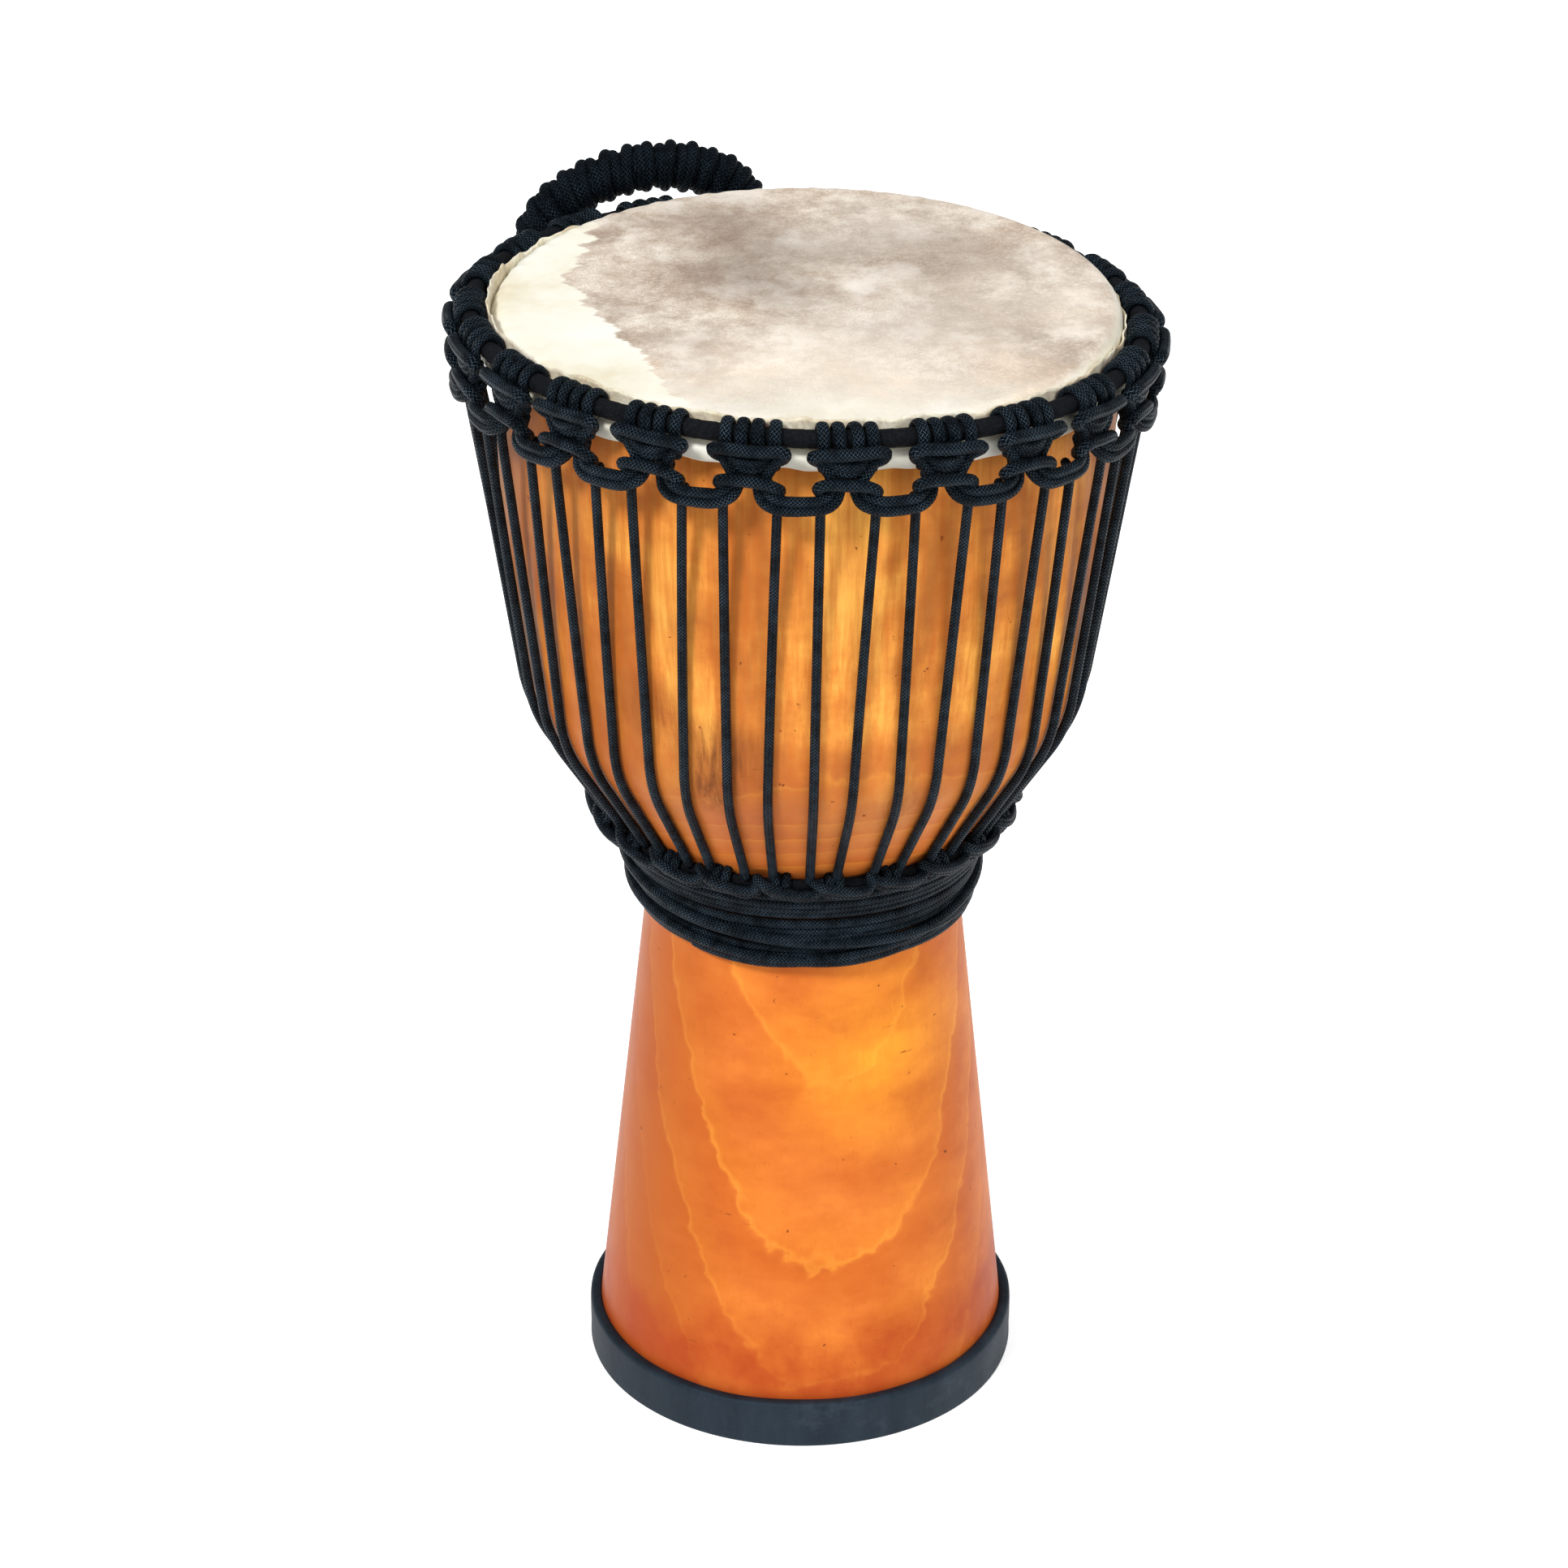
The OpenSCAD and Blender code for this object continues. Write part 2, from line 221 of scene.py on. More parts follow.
def finish_mesh(name, points, faces, material, uvs=None):
    """A smooth-shaded mesh object from points in millimetres."""
    mesh = bpy.data.meshes.new(name)
    mesh.from_pydata((np.asarray(points) * MM).tolist(), [], faces)
    if uvs is not None:
        layer = mesh.uv_layers.new(name="rope")
        layer.data.foreach_set("uv", np.asarray(uvs, np.float32).ravel())
    mesh.polygons.foreach_set("use_smooth", [True] * len(mesh.polygons))
    mesh.materials.append(material)
    mesh.validate()
    obj = bpy.data.objects.new(name, mesh)
    bpy.context.collection.objects.link(obj)
    return obj


class Ropes:
    """Collects round strands and makes one mesh of them. UV: share of the way round, length in mm."""

    def __init__(self):
        self.points = []
        self.faces = []
        self.uvs = []
        self.count = 0

    def lay(self, path, radius=ROPE_R, sides=14, closed=False, squash=1.0, squash_axis=None):
        """Adds one strand along the path. squash flattens it across squash_axis."""
        path = np.array(path, float)
        if closed:
            along = np.roll(path, -1, 0) - np.roll(path, 1, 0)
        else:
            along = np.gradient(path, axis=0)
        along = unit(along)
        normals = [unit(np.cross(along[0], [0.31, 0.2, 0.93]))]
        for t in along[1:]:
            n = normals[-1] - t * np.dot(normals[-1], t)
            normals.append(unit(n))
        normals = np.array(normals)
        if closed:
            last = unit(normals[-1] - along[0] * np.dot(normals[-1], along[0]))
            side = np.cross(along[0], normals[0])
            twist = math.atan2(np.dot(last, side), np.dot(last, normals[0]))
            share = np.linspace(0, 1, len(path), endpoint=False)[:, None] * twist
            other = np.cross(along, normals)
            normals = normals * np.cos(share) - other * np.sin(share)
        sizes = np.full(len(path), float(radius)) if np.isscalar(radius) else np.array(radius)
        if not closed:
            bulge = np.radians([82, 55, 28])
            head = [path[0] - along[0] * sizes[0] * math.sin(b) for b in bulge]
            tail = [path[-1] + along[-1] * sizes[-1] * math.sin(b) for b in bulge[::-1]]
            path = np.vstack([head, path, tail])
            shrink = np.cos(bulge)
            sizes = np.concatenate([sizes[0] * shrink, sizes, sizes[-1] * shrink[::-1]])
            normals = np.vstack([[normals[0]] * 3, normals, [normals[-1]] * 3])
            along = np.vstack([[along[0]] * 3, along, [along[-1]] * 3])
        other = np.cross(along, normals)
        phi = np.linspace(0, 2 * math.pi, sides, endpoint=False)
        ring = (normals[:, None] * np.cos(phi)[:, None] + other[:, None] * np.sin(phi)[:, None])
        if squash_axis is not None:
            flat = unit(np.asarray(squash_axis, float))
            if flat.ndim == 1:
                flat = np.tile(flat, (len(path), 1))
            elif len(flat) != len(path):
                flat = np.vstack([[flat[0]] * 3, flat, [flat[-1]] * 3])
            dots = (ring * flat[:, None]).sum(2, keepdims=True)
            ring = ring - flat[:, None] * dots * (1 - squash)
        ring = path[:, None] + ring * sizes[:, None, None]
        n = len(path)
        step = np.linalg.norm(np.diff(path, axis=0), axis=1)
        length = np.concatenate([[0], np.cumsum(step)]) + rng.random() * 50
        rows = n if closed else n - 1
        base = self.count
        for i in range(rows):
            k = (i + 1) % n
            end = length[k] if k else length[-1] + np.linalg.norm(path[0] - path[-1])
            for j in range(sides):
                m = (j + 1) % sides
                self.faces.append((base + i * sides + j, base + i * sides + m,
                                   base + k * sides + m, base + k * sides + j))
                self.uvs += [(j / sides, length[i]), ((j + 1) / sides, length[i]),
                             ((j + 1) / sides, end), (j / sides, end)]
        if not closed:
            for i, order in ((0, range(sides - 1, -1, -1)), (n - 1, range(sides))):
                self.faces.append([base + i * sides + j for j in order])
                self.uvs += [(j / sides, length[i]) for j in order]
        self.points.append(ring.reshape(-1, 3))
        self.count += n * sides

    def piece(self, name, material):
        """The mesh object of all the strands laid so far."""
        return finish_mesh(name, np.vstack(self.points), self.faces, material, self.uvs)


def lathe(name, rows, material, turns=256):
    """A surface of revolution. rows(a) gives the closed outline [r, z] at an angle a in degrees."""
    angles = np.arange(turns) * 360 / turns
    points = []
    for a in angles:
        line = np.array(rows(a), float)
        s, c = math.sin(math.radians(a)), math.cos(math.radians(a))
        points.append(np.column_stack([line[:, 0] * s, -line[:, 0] * c, line[:, 1]]))
    n = len(points[0])
    faces = []
    for i in range(turns):
        k = (i + 1) % turns
        for j in range(n):
            m = (j + 1) % n
            faces.append((i * n + j, k * n + j, k * n + m, i * n + m))
    return finish_mesh(name, np.vstack(points), faces, material)


# ---------------------------------------------------------------- material nodes
class Paint:
    """A node material and short ways to add nodes to it."""

    def __init__(self, name):
        self.material = bpy.data.materials.new(name)
        self.material.use_nodes = True
        self.tree = self.material.node_tree
        self.shader = self.tree.nodes["Principled BSDF"]
        self.place = self.add("ShaderNodeTexCoord").outputs["Object"]

    def add(self, kind, inputs=None, **props):
        """A new node with its inputs linked or set."""
        made = self.tree.nodes.new(kind)
        for key, value in props.items():
            setattr(made, key, value)
        for key, value in (inputs or {}).items():
            self.put(made.inputs[key], value)
        return made

    def put(self, socket, value):
        """Links or sets one input socket."""
        if isinstance(value, bpy.types.NodeSocket):
            self.tree.links.new(value, socket)
        elif isinstance(value, (tuple, list)) and len(value) == 3 and socket.type == "RGBA":
            socket.default_value = (*value, 1)
        else:
            socket.default_value = value

    def set(self, **inputs):
        """Links or sets inputs of the shader, named with underscores for spaces."""
        for key, value in inputs.items():
            self.put(self.shader.inputs[key.replace("_", " ")], value)

    def maths(self, operation, a, b=0.0, c=0.0, clamp=False):
        """The result of a Math node."""
        made = self.add("ShaderNodeMath", {0: a, 1: b, 2: c}, operation=operation)
        made.use_clamp = clamp
        return made.outputs[0]

    def scaled(self, vector, x, y, z):
        """A vector with each axis scaled."""
        made = self.add("ShaderNodeVectorMath", {0: vector, 1: (x, y, z)}, operation="MULTIPLY")
        return made.outputs[0]

    def noise(self, scale, detail=4.0, rough=0.5, vector=None, distortion=0.0):
        """A noise value, over the object's own coordinates unless a vector is given."""
        made = self.add("ShaderNodeTexNoise", {"Vector": vector or self.place, "Scale": scale,
                                               "Detail": detail, "Roughness": rough,
                                               "Distortion": distortion})
        return made.outputs[0]

    def ramp(self, value, *stops):
        """A colour ramp. Each stop is a place and a colour or a grey value."""
        made = self.add("ShaderNodeValToRGB", {0: value})
        bar = made.color_ramp
        while len(bar.elements) < len(stops):
            bar.elements.new(0.5)
        for element, (at, colour) in zip(bar.elements, stops):
            element.position = at
        for element, (at, colour) in zip(bar.elements, stops):
            shade = colour if isinstance(colour, tuple) else (colour,) * 3
            element.color = (*shade, 1)
        return made.outputs[0]

    def mix(self, share, a, b):
        """Colour a, mixed towards b by a share."""
        made = self.add("ShaderNodeMix", data_type="RGBA")
        self.put(made.inputs[0], share)
        self.put(made.inputs[6], a)
        self.put(made.inputs[7], b)
        return made.outputs[2]

    def bump(self, height, distance, strength):
        """A bumped normal, its distance in metres."""
        inputs = {"Height": height, "Distance": distance, "Strength": strength}
        return self.add("ShaderNodeBump", inputs).outputs[0]

    def split(self, vector):
        """The three parts of a vector."""
        made = self.add("ShaderNodeSeparateXYZ", {0: vector})
        return made.outputs[0], made.outputs[1], made.outputs[2]

    def fade(self, value, start, end, high=1.0):
        """0 up to start, rising to high at end and beyond it. start may be above end."""
        made = self.add("ShaderNodeMapRange", {0: value, 1: start, 2: end, 3: 0.0, 4: high})
        return made.outputs[0]

    def peak(self, value, at, before, after):
        """1 where value equals at, fading to nothing over before below it and after above it."""
        up = self.fade(value, at - before, at)
        down = self.fade(value, at + after, at)
        return self.maths("MULTIPLY", up, down)

    def blot(self, x, y, z, size, soft):
        """1 within a wobbly blot round a point, in metres."""
        far = self.add("ShaderNodeVectorMath", {0: self.wobbly, 1: (x, y, z)}, operation="DISTANCE")
        return self.fade(far.outputs["Value"], size * (1 + soft), size * (1 - soft))

    def wobble(self, scale, size):
        """Makes self.wobbly, the place shifted by noise of that size in metres."""
        colour = self.add("ShaderNodeTexNoise", {"Vector": self.place, "Scale": scale,
                                                 "Detail": 5.0}).outputs[1]
        centred = self.add("ShaderNodeVectorMath", {0: colour, 1: (-0.5, -0.5, -0.5)})
        moved = self.add("ShaderNodeVectorMath", {0: centred.outputs[0], "Scale": 2 * size},
                         operation="SCALE")
        total = self.add("ShaderNodeVectorMath", {0: self.place, 1: moved.outputs[0]})
        self.wobbly = total.outputs[0]


# Wood, in metres: its gloss, the pith's x and y, each growth ring's distance from the pith and its
# strength, the brightest place on the stem, and the smudges' places, sizes and depths
WARM = (1.0, 0.62, 0.30, 1.0)
PITH = (0.0049, -0.0252)
RING_LINES = ((0.0560, 0.5), (0.0672, 0.8), (0.0800, 1.0), (0.0885, 0.9), (0.0960, 0.5), (0.1040, 0.7),
              (0.1120, 0.6), (0.1240, 0.6))
GLOW_AT = (0.041, -0.084, 0.232)
SMUDGES = (((-0.044, -0.144, 0.448), 0.017, 0.9), ((-0.047, -0.136, 0.425), 0.012, 0.9),
           ((-0.075, -0.126, 0.470), 0.015, 0.6), ((0.050, -0.130, 0.415), 0.014, 0.35))


def growth_rings(p, x, y):
    """Three shares along the growth rings: the thin flame, its glow inside and the dusk outside."""
    px = p.maths("SUBTRACT", x, PITH[0])
    py = p.maths("SUBTRACT", y, PITH[1])
    far = p.maths("SQRT", p.maths("ADD", p.maths("MULTIPLY", px, px), p.maths("MULTIPLY", py, py)))
    for scale, size, detail in ((5.0, 0.004, 2.0), (24.0, 0.0042, 3.0), (95.0, 0.0021, 4.0)):
        centred = p.maths("SUBTRACT", p.noise(scale, detail, 0.55), 0.5)
        far = p.maths("MULTIPLY_ADD", centred, size, far)
    flame = glow = dusk = 0.0
    for at, depth in RING_LINES:
        thin = p.peak(far, at, 0.0006, 0.0003)
        inside = p.peak(far, at, 0.0045, 0.0005)
        outside = p.peak(far, at + 0.0008, 0.0006, 0.004)
        flame = p.maths("MAXIMUM", flame, p.maths("MULTIPLY", thin, depth))
        glow = p.maths("MAXIMUM", glow, p.maths("MULTIPLY", inside, depth))
        dusk = p.maths("MAXIMUM", dusk, p.maths("MULTIPLY", outside, depth))
    patch = p.ramp(p.noise(11.0, 3.0, 0.55), (0.30, 0.35), (0.60, 1.0))
    return p.maths("MULTIPLY", flame, patch), p.maths("MULTIPLY", glow, patch), dusk


def bowl_brown(p, cloud, z):
    """Colour of the bowl: browner than the stem, streaked up and down, and ruddy near the waist."""
    brown = p.ramp(cloud, (0.30, (0.42, 0.135, 0.028)), (0.50, (0.72, 0.265, 0.048)),
                   (0.70, (1.00, 0.460, 0.085)))
    tone = p.noise(1.0, 4.0, 0.6, p.scaled(p.wobbly, 19, 19, 5))
    brown = p.mix(p.ramp(tone, (0.36, 0.75), (0.52, 0.0)), brown, (0.33, 0.092, 0.020))
    brown = p.mix(p.ramp(tone, (0.52, 0.0), (0.66, 0.8)), brown, (1.0, 0.52, 0.100))
    ruddy = p.maths("MULTIPLY_ADD", p.noise(18.0, 3.0, 0.6), 0.06, z)
    return p.mix(p.ramp(ruddy, (0.44, 0.80), (0.50, 0.0)), brown, (0.36, 0.100, 0.031))


def wood_shade_and_foot_band(p, colour, x, z, cloud, on_bowl):
    """Painted shade, darker wood on the stem's left side and under the crown chain, and a red band at the
    foot.
    """
    # Painted shade: the stem's left side and the wood just under the crown chain are darkened, less on
    # the bowl
    left_side_shade = p.fade(x, -0.035, -0.085)
    left_side_shade = p.maths("MULTIPLY", left_side_shade, p.maths("MULTIPLY_ADD", on_bowl, -0.65, 1.0))
    shade_under_chain = p.ramp(z, (0.575, 0.0), (0.625, 0.35))
    painted_shade = p.maths("MAXIMUM", p.maths("MULTIPLY", left_side_shade, 0.75), shade_under_chain)
    painted_shade = p.maths("MULTIPLY", painted_shade, p.maths("MULTIPLY_ADD", cloud, 1.1, 0.35), clamp=True)
    colour = p.mix(painted_shade, colour, (0.30, 0.060, 0.008))
    low = p.ramp(p.maths("MULTIPLY_ADD", p.noise(22.0, 4.0, 0.6), 0.07, z), (0.090, 1.0), (0.120, 0.0))
    low = p.maths("MULTIPLY", low, p.ramp(p.noise(35.0, 4.0, 0.6), (0.35, 0.45), (0.6, 0.85)))
    return p.mix(low, colour, (0.34, 0.046, 0.010))


def wood_marks(p, colour, fibre):
    """Dark smudges low on the bowl, thin scratches and specks."""
    for at, size, depth in SMUDGES:
        smudge = p.maths("MULTIPLY", p.blot(*at, size, 0.8), p.ramp(fibre, (0.35, depth), (0.7, 0.1)))
        colour = p.mix(smudge, colour, (0.07, 0.025, 0.010))
    scratch = p.noise(1.0, 2.0, 0.5, p.scaled(p.wobbly, 60, 60, 420))
    scratch = p.maths("MULTIPLY", p.ramp(scratch, (0.71, 0.0), (0.74, 0.6)),
                      p.ramp(p.noise(14.0, 2.0, 0.5), (0.55, 0.0), (0.65, 1.0)))
    colour = p.mix(scratch, colour, (0.12, 0.025, 0.006))
    speck = p.ramp(p.noise(170.0, 2.0, 0.5), (0.74, 0.0), (0.77, 0.8))
    return p.mix(speck, colour, (0.16, 0.030, 0.008))


def wood_material():
    """Oiled, glossy orange hardwood with yellow growth-ring flames."""
    p = Paint("oiled_hardwood")
    p.wobble(9.0, 0.006)
    x, y, z = p.split(p.place)
    flame, glow, dusk = growth_rings(p, x, y)
    # Cloudy figure that runs across the stem, and long fibres and pores up the bowl
    cloud = p.noise(1.0, 5.0, 0.6, p.scaled(p.wobbly, 14, 14, 24))
    fibre = p.noise(1.0, 6.0, 0.65, p.scaled(p.place, 300, 300, 10))
    pore = p.noise(1.0, 3.0, 0.7, p.scaled(p.place, 1300, 1300, 90))
    base = p.ramp(cloud, (0.28, (0.40, 0.081, 0.015)), (0.45, (0.50, 0.120, 0.020)),
                  (0.60, (0.58, 0.157, 0.027)), (0.74, (0.66, 0.210, 0.034)))
    base = p.mix(p.ramp(z, (0.34, 0.0), (0.40, 1.0)), base, bowl_brown(p, cloud, z))
    colour = p.mix(p.maths("MULTIPLY", glow, 0.18), base, (0.90, 0.34, 0.022))
    colour = p.mix(p.maths("MULTIPLY", dusk, 0.30), colour, (0.44, 0.085, 0.010))
    colour = p.mix(p.maths("MULTIPLY", flame, 0.20), colour, (0.95, 0.45, 0.070))
    bright = p.maths("MULTIPLY", p.blot(*GLOW_AT, 0.040, 0.75), p.ramp(cloud, (0.30, 0.3), (0.6, 1.0)))
    colour = p.mix(p.maths("MULTIPLY", bright, 0.45), colour, (1.0, 0.43, 0.026))
    on_bowl = p.ramp(z, (0.36, 0.25), (0.50, 1.0))
    streak = p.maths("MULTIPLY", p.ramp(fibre, (0.35, 0.55), (0.6, 0.0)), on_bowl)
    colour = p.mix(streak, colour, (0.50, 0.115, 0.016))
    colour = p.mix(p.ramp(pore, (0.28, 0.30), (0.38, 0.0)), colour, (0.20, 0.030, 0.004))
    colour = wood_shade_and_foot_band(p, colour, x, z, cloud, on_bowl)
    colour = wood_marks(p, colour, fibre)
    # Painted shade on the bowl's left and right sides, between the ropes
    side_shade = p.maths("MULTIPLY", p.fade(p.maths("ABSOLUTE", x), 0.128, 0.152), on_bowl)
    colour = p.mix(p.maths("MULTIPLY", side_shade, 0.45), colour, (0.100, 0.028, 0.008))
    fine = p.noise(60.0, 4.0, 0.6)
    p.set(Base_Color=colour, Roughness=p.maths("MULTIPLY_ADD", fine, 0.14, 0.33))
    p.set(Coat_Weight=0.02, Coat_Roughness=0.2, Specular_IOR_Level=0.07, Specular_Tint=WARM)
    height = p.maths("ADD", p.maths("MULTIPLY", fibre, 0.4), p.maths("MULTIPLY", pore, 0.5))
    p.set(Normal=p.bump(height, 0.0002, 0.4))
    return p.material


# Rope: the blue of its gloss, the plaits round it and the length of each in millimetres
BLUISH = (0.55, 0.80, 1.0, 1.0)
PLAITS = 8.0
PLAIT_LENGTH = 2.1


def rope_material(name="braided_rope", fuzz=0.0):
    """Black braided rope: two sets of plaited yarns crossing in V shapes, worked out from the UV map,
    with painted bluish highlights on the raised yarns.
    """
    p = Paint(name)
    uv = p.add("ShaderNodeUVMap", uv_map="rope").outputs[0]
    u, v = p.split(uv)[:2]
    around = p.maths("MULTIPLY", u, PLAITS)
    along = p.maths("DIVIDE", v, PLAIT_LENGTH)
    left = p.maths("ADD", around, along)
    right = p.maths("SUBTRACT", around, along)
    over = p.maths("MODULO", p.maths("ADD", p.maths("FLOOR", left), p.maths("FLOOR", right)), 2.0)
    over = p.maths("ABSOLUTE", over)
    shape_left = p.maths("SINE", p.maths("MULTIPLY", p.maths("FRACT", left), math.pi))
    shape_right = p.maths("SINE", p.maths("MULTIPLY", p.maths("FRACT", right), math.pi))
    lit = p.mix(over, shape_left, shape_right)
    yarn = p.mix(over, p.maths("FRACT", p.maths("MULTIPLY", left, 3.0)),
                 p.maths("FRACT", p.maths("MULTIPLY", right, 3.0)))
    yarn = p.maths("PINGPONG", yarn, 0.5)
    height = p.maths("MULTIPLY_ADD", yarn, 0.35, p.maths("MULTIPLY", lit, 0.9))
    highlight_patches = p.noise(90.0, 4.0, 0.7)
    # Painted highlight: the crowns of the raised yarns are coloured light blue, in patches, and less on
    # fuzzy rope
    tick_highlight = p.maths("MULTIPLY", p.ramp(height, (0.93, 0.0), (1.06, 1.0)),
                   p.ramp(highlight_patches, (0.38, 0.10), (0.65, 1.0)))
    tick_highlight = p.maths("MULTIPLY", tick_highlight, 1.0 - 0.8 * fuzz)
    colour = p.mix(tick_highlight, (0.0008, 0.0013, 0.0022), (0.080, 0.125, 0.170))
    if fuzz:
        speck = p.ramp(p.noise(1500.0, 2.0, 0.8), (0.60, 0.0), (0.72, 1.0))
        colour = p.mix(p.maths("MULTIPLY", speck, fuzz), colour, (0.040, 0.060, 0.090))
    p.set(Base_Color=colour, Roughness=0.45 + 0.25 * fuzz, Specular_IOR_Level=0.11 - 0.06 * fuzz,
          Specular_Tint=BLUISH)
    p.set(Normal=p.bump(height, 0.0008, 1.0))
    return p.material


# Cloth on the rings: threads round the ring and the width of one along it in millimetres
CLOTH_THREADS = 44
CLOTH_THREAD = 0.7


def cloth_material():
    """Black cotton strip wound round a steel ring."""
    p = Paint("black_ring_cloth")
    uv = p.add("ShaderNodeUVMap", uv_map="rope").outputs[0]
    u, v = p.split(uv)[:2]
    warp = p.maths("SINE", p.maths("MULTIPLY", u, 2 * math.pi * CLOTH_THREADS))
    weft = p.maths("SINE", p.maths("MULTIPLY", v, 2 * math.pi / CLOTH_THREAD))
    weave = p.maths("MULTIPLY", warp, weft)
    lint = p.noise(700.0, 3.0, 0.7)
    colour = p.mix(p.ramp(lint, (0.45, 0.0), (0.75, 1.0)), (0.0025, 0.0030, 0.0042),
                   (0.010, 0.013, 0.018))
    p.set(Base_Color=colour, Roughness=0.85, Specular_IOR_Level=0.12)
    height = p.maths("ADD", p.maths("MULTIPLY", weave, 0.5), lint)
    p.set(Normal=p.bump(height, 0.0003, 0.8))
    return p.material


# Goat skin: its darker and its paler blots as x, y and size in metres, then depth or colour
GREYISH = (0.56, 0.53, 0.49)
SANDY = (0.92, 0.84, 0.73)
DARK_BLOTS = ((-0.048, 0.108, 0.030, 0.45), (-0.039, 0.038, 0.030, 0.5), (0.068, 0.054, 0.034, 0.35),
              (0.084, -0.027, 0.030, 0.35), (-0.020, 0.070, 0.026, 0.35), (-0.010, 0.010, 0.024, 0.3))
PALE_BLOTS = ((0.030, -0.032, 0.034, GREYISH), (0.008, 0.076, 0.026, GREYISH),
              (0.050, 0.100, 0.030, GREYISH), (0.118, 0.0, 0.052, SANDY),
              (0.050, -0.095, 0.050, SANDY), (-0.02, -0.09, 0.045, SANDY))


def mottled_back(p, y, broad, fine, hair):
    """Colour of the goat's back: mottled tan and grey, with dark and pale blots."""
    grain = p.noise(900.0, 3.0, 0.75)
    mid = p.noise(26.0, 6.0, 0.7, p.scaled(p.wobbly, 1.0, 1.05, 1.0), 0.6)
    tan = p.ramp(p.maths("ADD", p.maths("MULTIPLY", broad, 0.55), p.maths("MULTIPLY", mid, 0.45)),
                 (0.37, (0.30, 0.235, 0.185)), (0.45, (0.52, 0.430, 0.350)),
                 (0.53, (0.73, 0.650, 0.555)), (0.62, (0.90, 0.840, 0.745)))
    tan = p.mix(p.ramp(fine, (0.38, 0.55), (0.60, 0.0)), tan, (0.30, 0.21, 0.145))
    tan = p.mix(p.ramp(hair, (0.48, 0.0), (0.70, 0.55)), tan, (0.86, 0.77, 0.65))
    tan = p.mix(p.ramp(grain, (0.37, 0.50), (0.54, 0.0)), tan, (0.28, 0.185, 0.125))
    warm = p.maths("MULTIPLY", p.ramp(p.noise(16.0, 4.0, 0.6), (0.42, 0.0), (0.62, 0.42)),
                   p.ramp(p.maths("MULTIPLY", y, -1.0), (0.0, 0.1), (0.11, 1.0)))
    tan = p.mix(warm, tan, (0.80, 0.60, 0.42))
    patch = p.ramp(p.noise(21.0, 6.0, 0.68, p.wobbly), (0.50, 0.0), (0.62, 0.42))
    tan = p.mix(patch, tan, (0.30, 0.225, 0.175))
    light = p.noise(17.0, 6.0, 0.68, p.scaled(p.wobbly, 1.1, 1.0, 1.0))
    tan = p.mix(p.ramp(light, (0.50, 0.0), (0.64, 0.6)), tan, (0.84, 0.79, 0.71))
    top = DRUM_H * MM
    for bx, by, size, depth in DARK_BLOTS:
        dark = p.maths("MULTIPLY", p.blot(bx, by, top, size, 0.7), depth)
        tan = p.mix(dark, tan, (0.145, 0.100, 0.075))
    for bx, by, size, shade in PALE_BLOTS:
        pale = p.maths("MULTIPLY", p.blot(bx, by, top, size, 0.8), 0.34)
        tan = p.mix(pale, tan, shade)
    return tan


def cream_share(p, x, y, z, broad, fine):
    """1 on the cream flank at the left, most of it at the front edge, and 1 on the skin's wall."""
    # The border of the flank is a jagged line, bent at this y
    bend = 0.022
    behind = p.maths("MAXIMUM", p.maths("SUBTRACT", y, bend), 0.0)
    before = p.maths("MAXIMUM", p.maths("SUBTRACT", bend, y), 0.0)
    line = p.maths("MULTIPLY_ADD", behind, -0.14, x)
    line = p.maths("MULTIPLY_ADD", before, -0.42, line)
    jag = p.noise(1.0, 5.0, 0.62, p.scaled(p.place, 25, 85, 60))
    line = p.maths("MULTIPLY_ADD", jag, 0.034, line)
    line = p.maths("MULTIPLY_ADD", broad, 0.020, line)
    flank = p.fade(line, -0.0965, -0.0985)
    wobbly_y = p.split(p.wobbly)[1]
    front = p.fade(p.maths("MULTIPLY_ADD", fine, 0.07, wobbly_y), -0.055, -0.115, 0.90)
    wall = p.fade(z, 0.6395, 0.636)
    return p.maths("MAXIMUM", flank, p.maths("MAXIMUM", p.maths("MULTIPLY", front, 0.8), wall))


def skin_material():
    """Goat skin with its short hair left on: cream flank, mottled tan and grey back."""
    p = Paint("goat_skin_hair")
    p.wobble(14.0, 0.012)
    x, y, z = p.split(p.place)
    broad = p.noise(7.0, 5.0, 0.6)
    fine = p.noise(75.0, 5.0, 0.7)
    hair = p.noise(1.0, 4.0, 0.7, p.scaled(p.wobbly, 420, 520, 400))
    cream = p.ramp(p.noise(18.0, 5.0, 0.6), (0.32, (0.68, 0.62, 0.46)), (0.5, (0.78, 0.75, 0.64)),
                   (0.7, (0.82, 0.81, 0.74)))
    colour = p.mix(cream_share(p, x, y, z, broad, fine), mottled_back(p, y, broad, fine, hair), cream)
    p.set(Base_Color=colour, Roughness=0.62, Specular_IOR_Level=0.25)
    height = p.maths("ADD", p.maths("MULTIPLY", hair, 0.6), p.maths("MULTIPLY", fine, 0.5))
    p.set(Normal=p.bump(height, 0.0004, 0.5))
    return p.material


def collar_material():
    """Raw cut edge of the skin above the ring: cream and olive in noisy patches, with darker fine flecks.
    """
    p = Paint("raw_skin_collar")
    broad = p.noise(30.0, 4.0, 0.65)
    fine = p.noise(260.0, 4.0, 0.7)
    colour = p.ramp(broad, (0.28, (0.42, 0.33, 0.19)), (0.45, (0.72, 0.64, 0.46)),
                    (0.62, (0.86, 0.83, 0.70)))
    colour = p.mix(p.ramp(fine, (0.35, 0.4), (0.6, 0.0)), colour, (0.25, 0.17, 0.09))
    p.set(Base_Color=colour, Roughness=0.6, Subsurface_Weight=0.1, Subsurface_Scale=0.003)
    p.set(Normal=p.bump(p.maths("ADD", broad, fine), 0.0006, 0.6))
    return p.material


